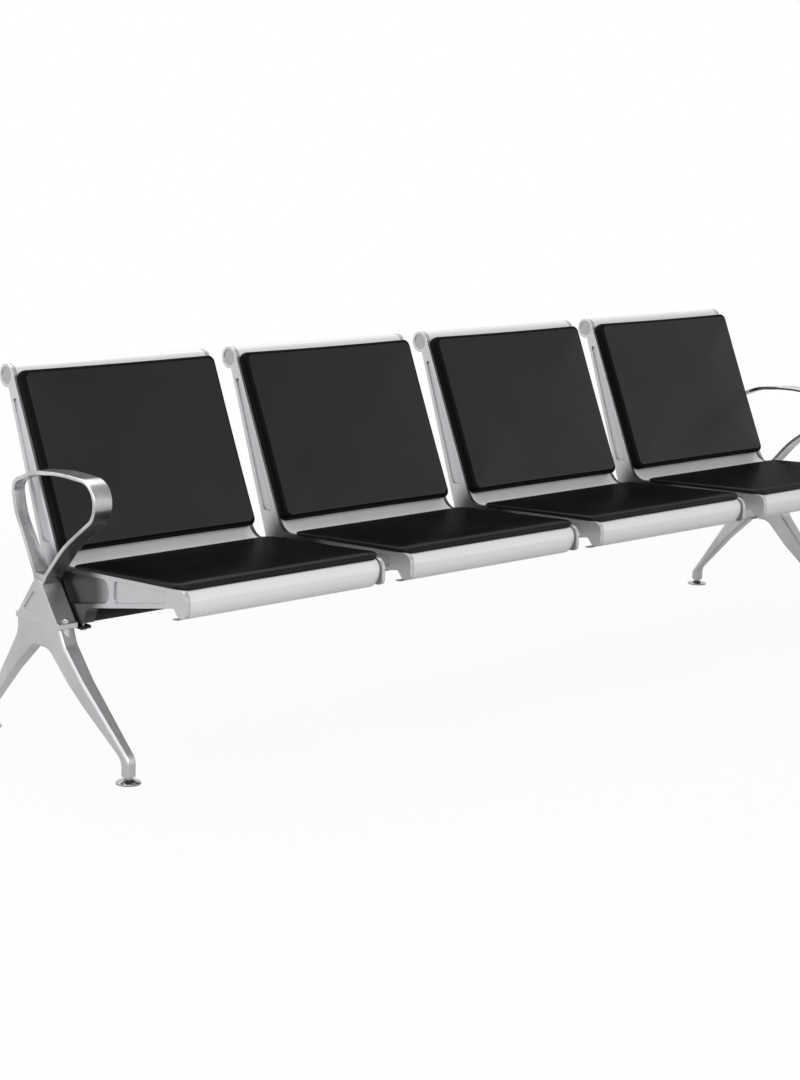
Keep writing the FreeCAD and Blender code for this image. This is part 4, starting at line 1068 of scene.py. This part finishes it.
def read_points(mesh: bpy.types.Mesh) -> np.ndarray:
    """Return a mesh's points as rows of three numbers."""
    flat = np.empty(len(mesh.vertices) * 3, dtype=np.float32)
    mesh.vertices.foreach_get("co", flat)
    return flat.reshape(-1, 3).astype(float)


def write_values(mesh: bpy.types.Mesh, name: str, values: np.ndarray) -> None:
    """Store one number for each point of a mesh under a name that materials read."""
    attribute = mesh.attributes.new(name, "FLOAT", "POINT")
    attribute.data.foreach_set("value", values.astype(np.float32))


def close_poles(mesh: bpy.types.Mesh) -> None:
    """Merge the points that meet at a surface's poles, and turn its faces outwards."""
    work = bmesh.new()
    work.from_mesh(mesh)
    bmesh.ops.remove_doubles(work, verts=work.verts, dist=2e-5)
    bmesh.ops.recalc_face_normals(work, faces=work.faces)
    work.to_mesh(mesh)
    work.free()
    mesh.update()


def bake_modifiers(piece: bpy.types.Object) -> None:
    """Replace a piece's mesh by what its modifiers make of it."""
    view = bpy.context.evaluated_depsgraph_get()
    made = bpy.data.meshes.new_from_object(piece.evaluated_get(view))
    piece.modifiers.clear()
    piece.data = made


def subdivide(piece: bpy.types.Object, levels: int) -> None:
    """Add a subdivision surface with the same levels in the view and the render."""
    modifier = piece.modifiers.new("rounding", "SUBSURF")
    modifier.levels = levels
    modifier.render_levels = levels


def sample_grid(grid: np.ndarray, u: np.ndarray, v: np.ndarray) -> np.ndarray:
    """Read an even grid at places from 0 to 1, straight between its nearest four values.

    Args:
        grid: values over the pad.
        u: places along the first axis.
        v: places along the second axis.

    Returns:
        One value for each place.
    """
    x = np.clip(u * grid.shape[0] - 0.5, 0.0, grid.shape[0] - 1.001)
    y = np.clip(v * grid.shape[1] - 0.5, 0.0, grid.shape[1] - 1.001)
    i = x.astype(int)
    j = y.astype(int)
    a = x - i
    b = y - j
    low = grid[i, j] * (1 - a) + grid[i + 1, j] * a
    high = grid[i, j + 1] * (1 - a) + grid[i + 1, j + 1] * a
    return low * (1 - b) + high * b


# The bench's rigid parts

def named(kind: str, places: Iterable[str | int]) -> list[str]:
    """Return the node of one kind at each place."""
    return [f"{kind}_{place}" for place in places]


@dataclass
class RigidParts:
    """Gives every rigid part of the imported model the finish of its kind."""

    nodes: dict
    silver: Finish = SilverCoat()
    silver_frame: Finish = FrameCoat(
        colour=(0.66, 0.665, 0.675), shade=(0.60, 0.605, 0.62), joint_reach=0.014, joint_shade_and_grime=0.80,
        metallic=0.80, peel_depth=0.00004, edge_radius=0.0014,
    )
    casting: Finish = PolishedCasting()
    worn_casting: Finish = PolishedCasting(
        colour=(0.70, 0.705, 0.715), shade=(0.42, 0.425, 0.435), roughness=0.27, cloud_range=(0.36, 0.60),
    )
    black: Finish = BlackCoat()
    wood: Finish = Plywood()
    foot: Finish = FootMetal()
    steel: Finish = ZincSteel()

    def groups(self) -> dict[str, tuple[Finish, list[str]]]:
        """Return each finish by a material's name, with the nodes that wear it."""
        places = [f"{side}_{end}" for side in SIDES for end in ENDS]
        handed = [f"{side}_{seat}" for side in SIDES for seat in SEAT_NUMBERS]
        screws = ["pad_screws", "clamp_bolts", "leg_screws", "arm_bolts"]
        return {
            "silver_sheet": (self.silver, named("seat_sheet", SEAT_NUMBERS)),
            "silver_frame": (self.silver_frame, named("side_frame", handed)),
            "polished_casting": (self.casting, named("leg", SIDES) + named("saddle", SIDES)),
            "worn_casting": (self.worn_casting, named("arm", SIDES)),
            "black_coat": (self.black, ["beam", *named("clamp_plate", handed)]),
            "plywood": (self.wood, named("seat_board", SEAT_NUMBERS) + named("back_board", SEAT_NUMBERS)),
            "foot_metal": (self.foot, named("foot_plate", places)),
            "zinc_steel": (self.steel, named("foot_stem", places) + screws),
        }

    def dress(self) -> None:
        """Give each node its material and report it."""
        for name, (finish, wearers) in self.groups().items():
            material = finish.material(name)
            for wearer in wearers:
                slots = self.nodes[wearer].data.materials
                slots.clear()
                slots.append(material)
            log.info("%s on %d nodes", name, len(wearers))


# The studio

@dataclass(frozen=True)
class PhotoCamera:
    """The camera of the photograph, in metres and radians."""

    place: Triple = (-3.71514, -3.65313, 1.39445)
    yaw: float = 0.756182
    pitch: float = -0.205773
    roll: float = 0.031428
    lens: float = 76.474

    def make(self) -> None:
        """Make the camera and look through it."""
        forward = Vector((
            math.sin(self.yaw) * math.cos(self.pitch),
            math.cos(self.yaw) * math.cos(self.pitch),
            math.sin(self.pitch),
        ))
        level = Vector((math.cos(self.yaw), -math.sin(self.yaw), 0.0))
        upright = level.cross(forward)
        right = math.cos(self.roll) * level + math.sin(self.roll) * upright
        up = math.cos(self.roll) * upright - math.sin(self.roll) * level
        turn = Matrix((right, up, -forward)).transposed().to_4x4()
        data = bpy.data.cameras.new("photo_camera")
        data.lens = self.lens
        data.sensor_width = 36.0
        data.clip_end = 200.0
        camera = bpy.data.objects.new("photo_camera", data)
        camera.matrix_world = Matrix.Translation(self.place) @ turn
        bpy.context.scene.collection.objects.link(camera)
        bpy.context.scene.camera = camera


@dataclass(frozen=True)
class SoftLamp:
    """A rectangular soft light aimed at a point."""

    name: str
    place: Triple
    aim: Triple
    size: Spread
    watts: float

    def make(self) -> None:
        """Make the lamp."""
        data = bpy.data.lights.new(self.name, "AREA")
        data.shape = "RECTANGLE"
        data.size, data.size_y = self.size
        data.energy = self.watts
        lamp = bpy.data.objects.new(self.name, data)
        lamp.location = self.place
        lamp.rotation_euler = (Vector(self.aim) - Vector(self.place)).to_track_quat("-Z", "Y").to_euler()
        bpy.context.scene.collection.objects.link(lamp)


@dataclass
class Studio:
    """A white room: a pale floor, a soft sky with a darker patch ahead of the bench, and three lamps."""

    camera: PhotoCamera = PhotoCamera()
    floor_size: float = 60.0
    floor_gap: float = 0.0004
    floor_grain: float = 0.02
    bench_shape: Triple = (0.6, 1.0, 1.0)
    floor_bounce: float = 0.66
    floor_white: float = 0.94
    shadow_reach: Spread = (1.5, 3.6)
    sky: float = 0.60
    dark_patch: Triple = (0.53, -0.36, 0.77)
    dark_range: Spread = (0.72, 0.97)
    dark_share: float = 0.50
    lamps: tuple[SoftLamp, ...] = (
        SoftLamp("key_lamp", (-2.6, -4.6, 3.3), (-0.1, 0.0, 0.4), (5.0, 4.0), 130.0),
        SoftLamp("top_lamp", (-0.8, 1.4, 4.2), (0.0, 0.1, 0.3), (7.0, 5.0), 120.0),
        SoftLamp("side_lamp", (-4.6, 1.6, 2.0), (-0.6, 0.0, 0.4), (2.2, 2.2), 14.0),
    )

    def mirrored_rays(self, tree: ShaderTree) -> Wire:
        """Return 1 for rays from gloss and through glass."""
        gloss = tree.add("ShaderNodeLightPath", output="Is Glossy Ray")
        return gloss.apply("MAXIMUM", tree.add("ShaderNodeLightPath", output="Is Transmission Ray"))

    def make_floor(self) -> None:
        """Make the pale floor: it keeps the bench's shadow near it and turns plain white further out."""
        half = self.floor_size / 2
        ring = ((-half, -half), (half, -half), (half, half), (-half, half))
        corners = np.array([(x, y, -self.floor_gap) for x, y in ring])
        floor = make_mesh("studio_floor", corners, np.array([(0, 1, 2, 3)]))
        material = bpy.data.materials.new("studio_floor")
        material.use_nodes = True
        tree = ShaderTree(material.node_tree)
        grain = tree.noise(3.0, detail=2.0)
        low, high = self.floor_bounce, self.floor_bounce + self.floor_grain
        colour = tree.mix(grain, (low, low, low), (high, high, high))
        matt = tree.add("ShaderNodeBsdfDiffuse", {}, {"Color": colour})
        white = tree.add("ShaderNodeEmission", {}, {"Color": (1.0, 1.0, 1.0, 1.0), "Strength": 1.0})
        plain = tree.length(tree.place(self.bench_shape)).between(*self.shadow_reach)
        camera = tree.add("ShaderNodeLightPath", output="Is Camera Ray")
        seen = camera * (self.floor_white + plain * (1.0 - self.floor_white))
        share = seen + self.mirrored_rays(tree) * plain
        both = tree.add("ShaderNodeMixShader", {}, {0: share, 1: matt, 2: white})
        tree.add("ShaderNodeOutputMaterial", {}, {"Surface": both})
        floor.data.materials.append(material)

    def make_sky(self) -> None:
        """Make the world: white where it is seen, and a plain soft light on the bench."""
        world = bpy.data.worlds.new("studio_sky")
        bpy.context.scene.world = world
        world.use_nodes = True
        tree = ShaderTree(world.node_tree)
        camera = tree.add("ShaderNodeLightPath", output="Is Camera Ray")
        shown = camera.apply("MAXIMUM", self.mirrored_rays(tree))
        direction = tree.add("ShaderNodeTexCoord", output="Generated")
        dim = tree.dot(direction, self.dark_patch).between(*self.dark_range) * (1.0 - camera)
        level = shown * (1.0 - self.sky) + self.sky
        strength = level * (1.0 - dim * self.dark_share)
        sky = tree.add("ShaderNodeBackground", {}, {"Color": (1.0, 1.0, 1.0, 1.0), "Strength": strength})
        tree.add("ShaderNodeOutputWorld", {}, {"Surface": sky})

    def make(self) -> None:
        """Make the camera, the floor, the sky and the lamps."""
        self.camera.make()
        self.make_floor()
        self.make_sky()
        for lamp in self.lamps:
            lamp.make()
        bpy.context.scene.view_settings.view_transform = "Standard"
        log.info("studio with %d lamps", len(self.lamps))


def main() -> None:
    """Build the bench's looks in order."""
    logging.basicConfig(level=logging.INFO, format="%(message)s")
    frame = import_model()
    Studio().make()
    RigidParts(frame["nodes"]).dress()
    leather = BlackLeather().material("black_leather")
    seat_band = BlackLeather(roughness=0.42, shine=0.16)
    # the back band's colours, darker than the leather's, are painted shade on the back pads' upright edge
    # band
    painted_shade_back_band = BlackLeather((0.0020, 0.0020, 0.0022), (0.0034, 0.0033, 0.0037), roughness=0.52, shine=0.05)
    PadMaker(PadKind.SEAT).make(leather, seat_band.material("black_seat_band"))
    PadMaker(PadKind.BACK).make(leather, painted_shade_back_band.material("black_back_band"))
    SeatBoard().make(bpy.data.materials["plywood"])


if __name__ == "__main__":
    main()
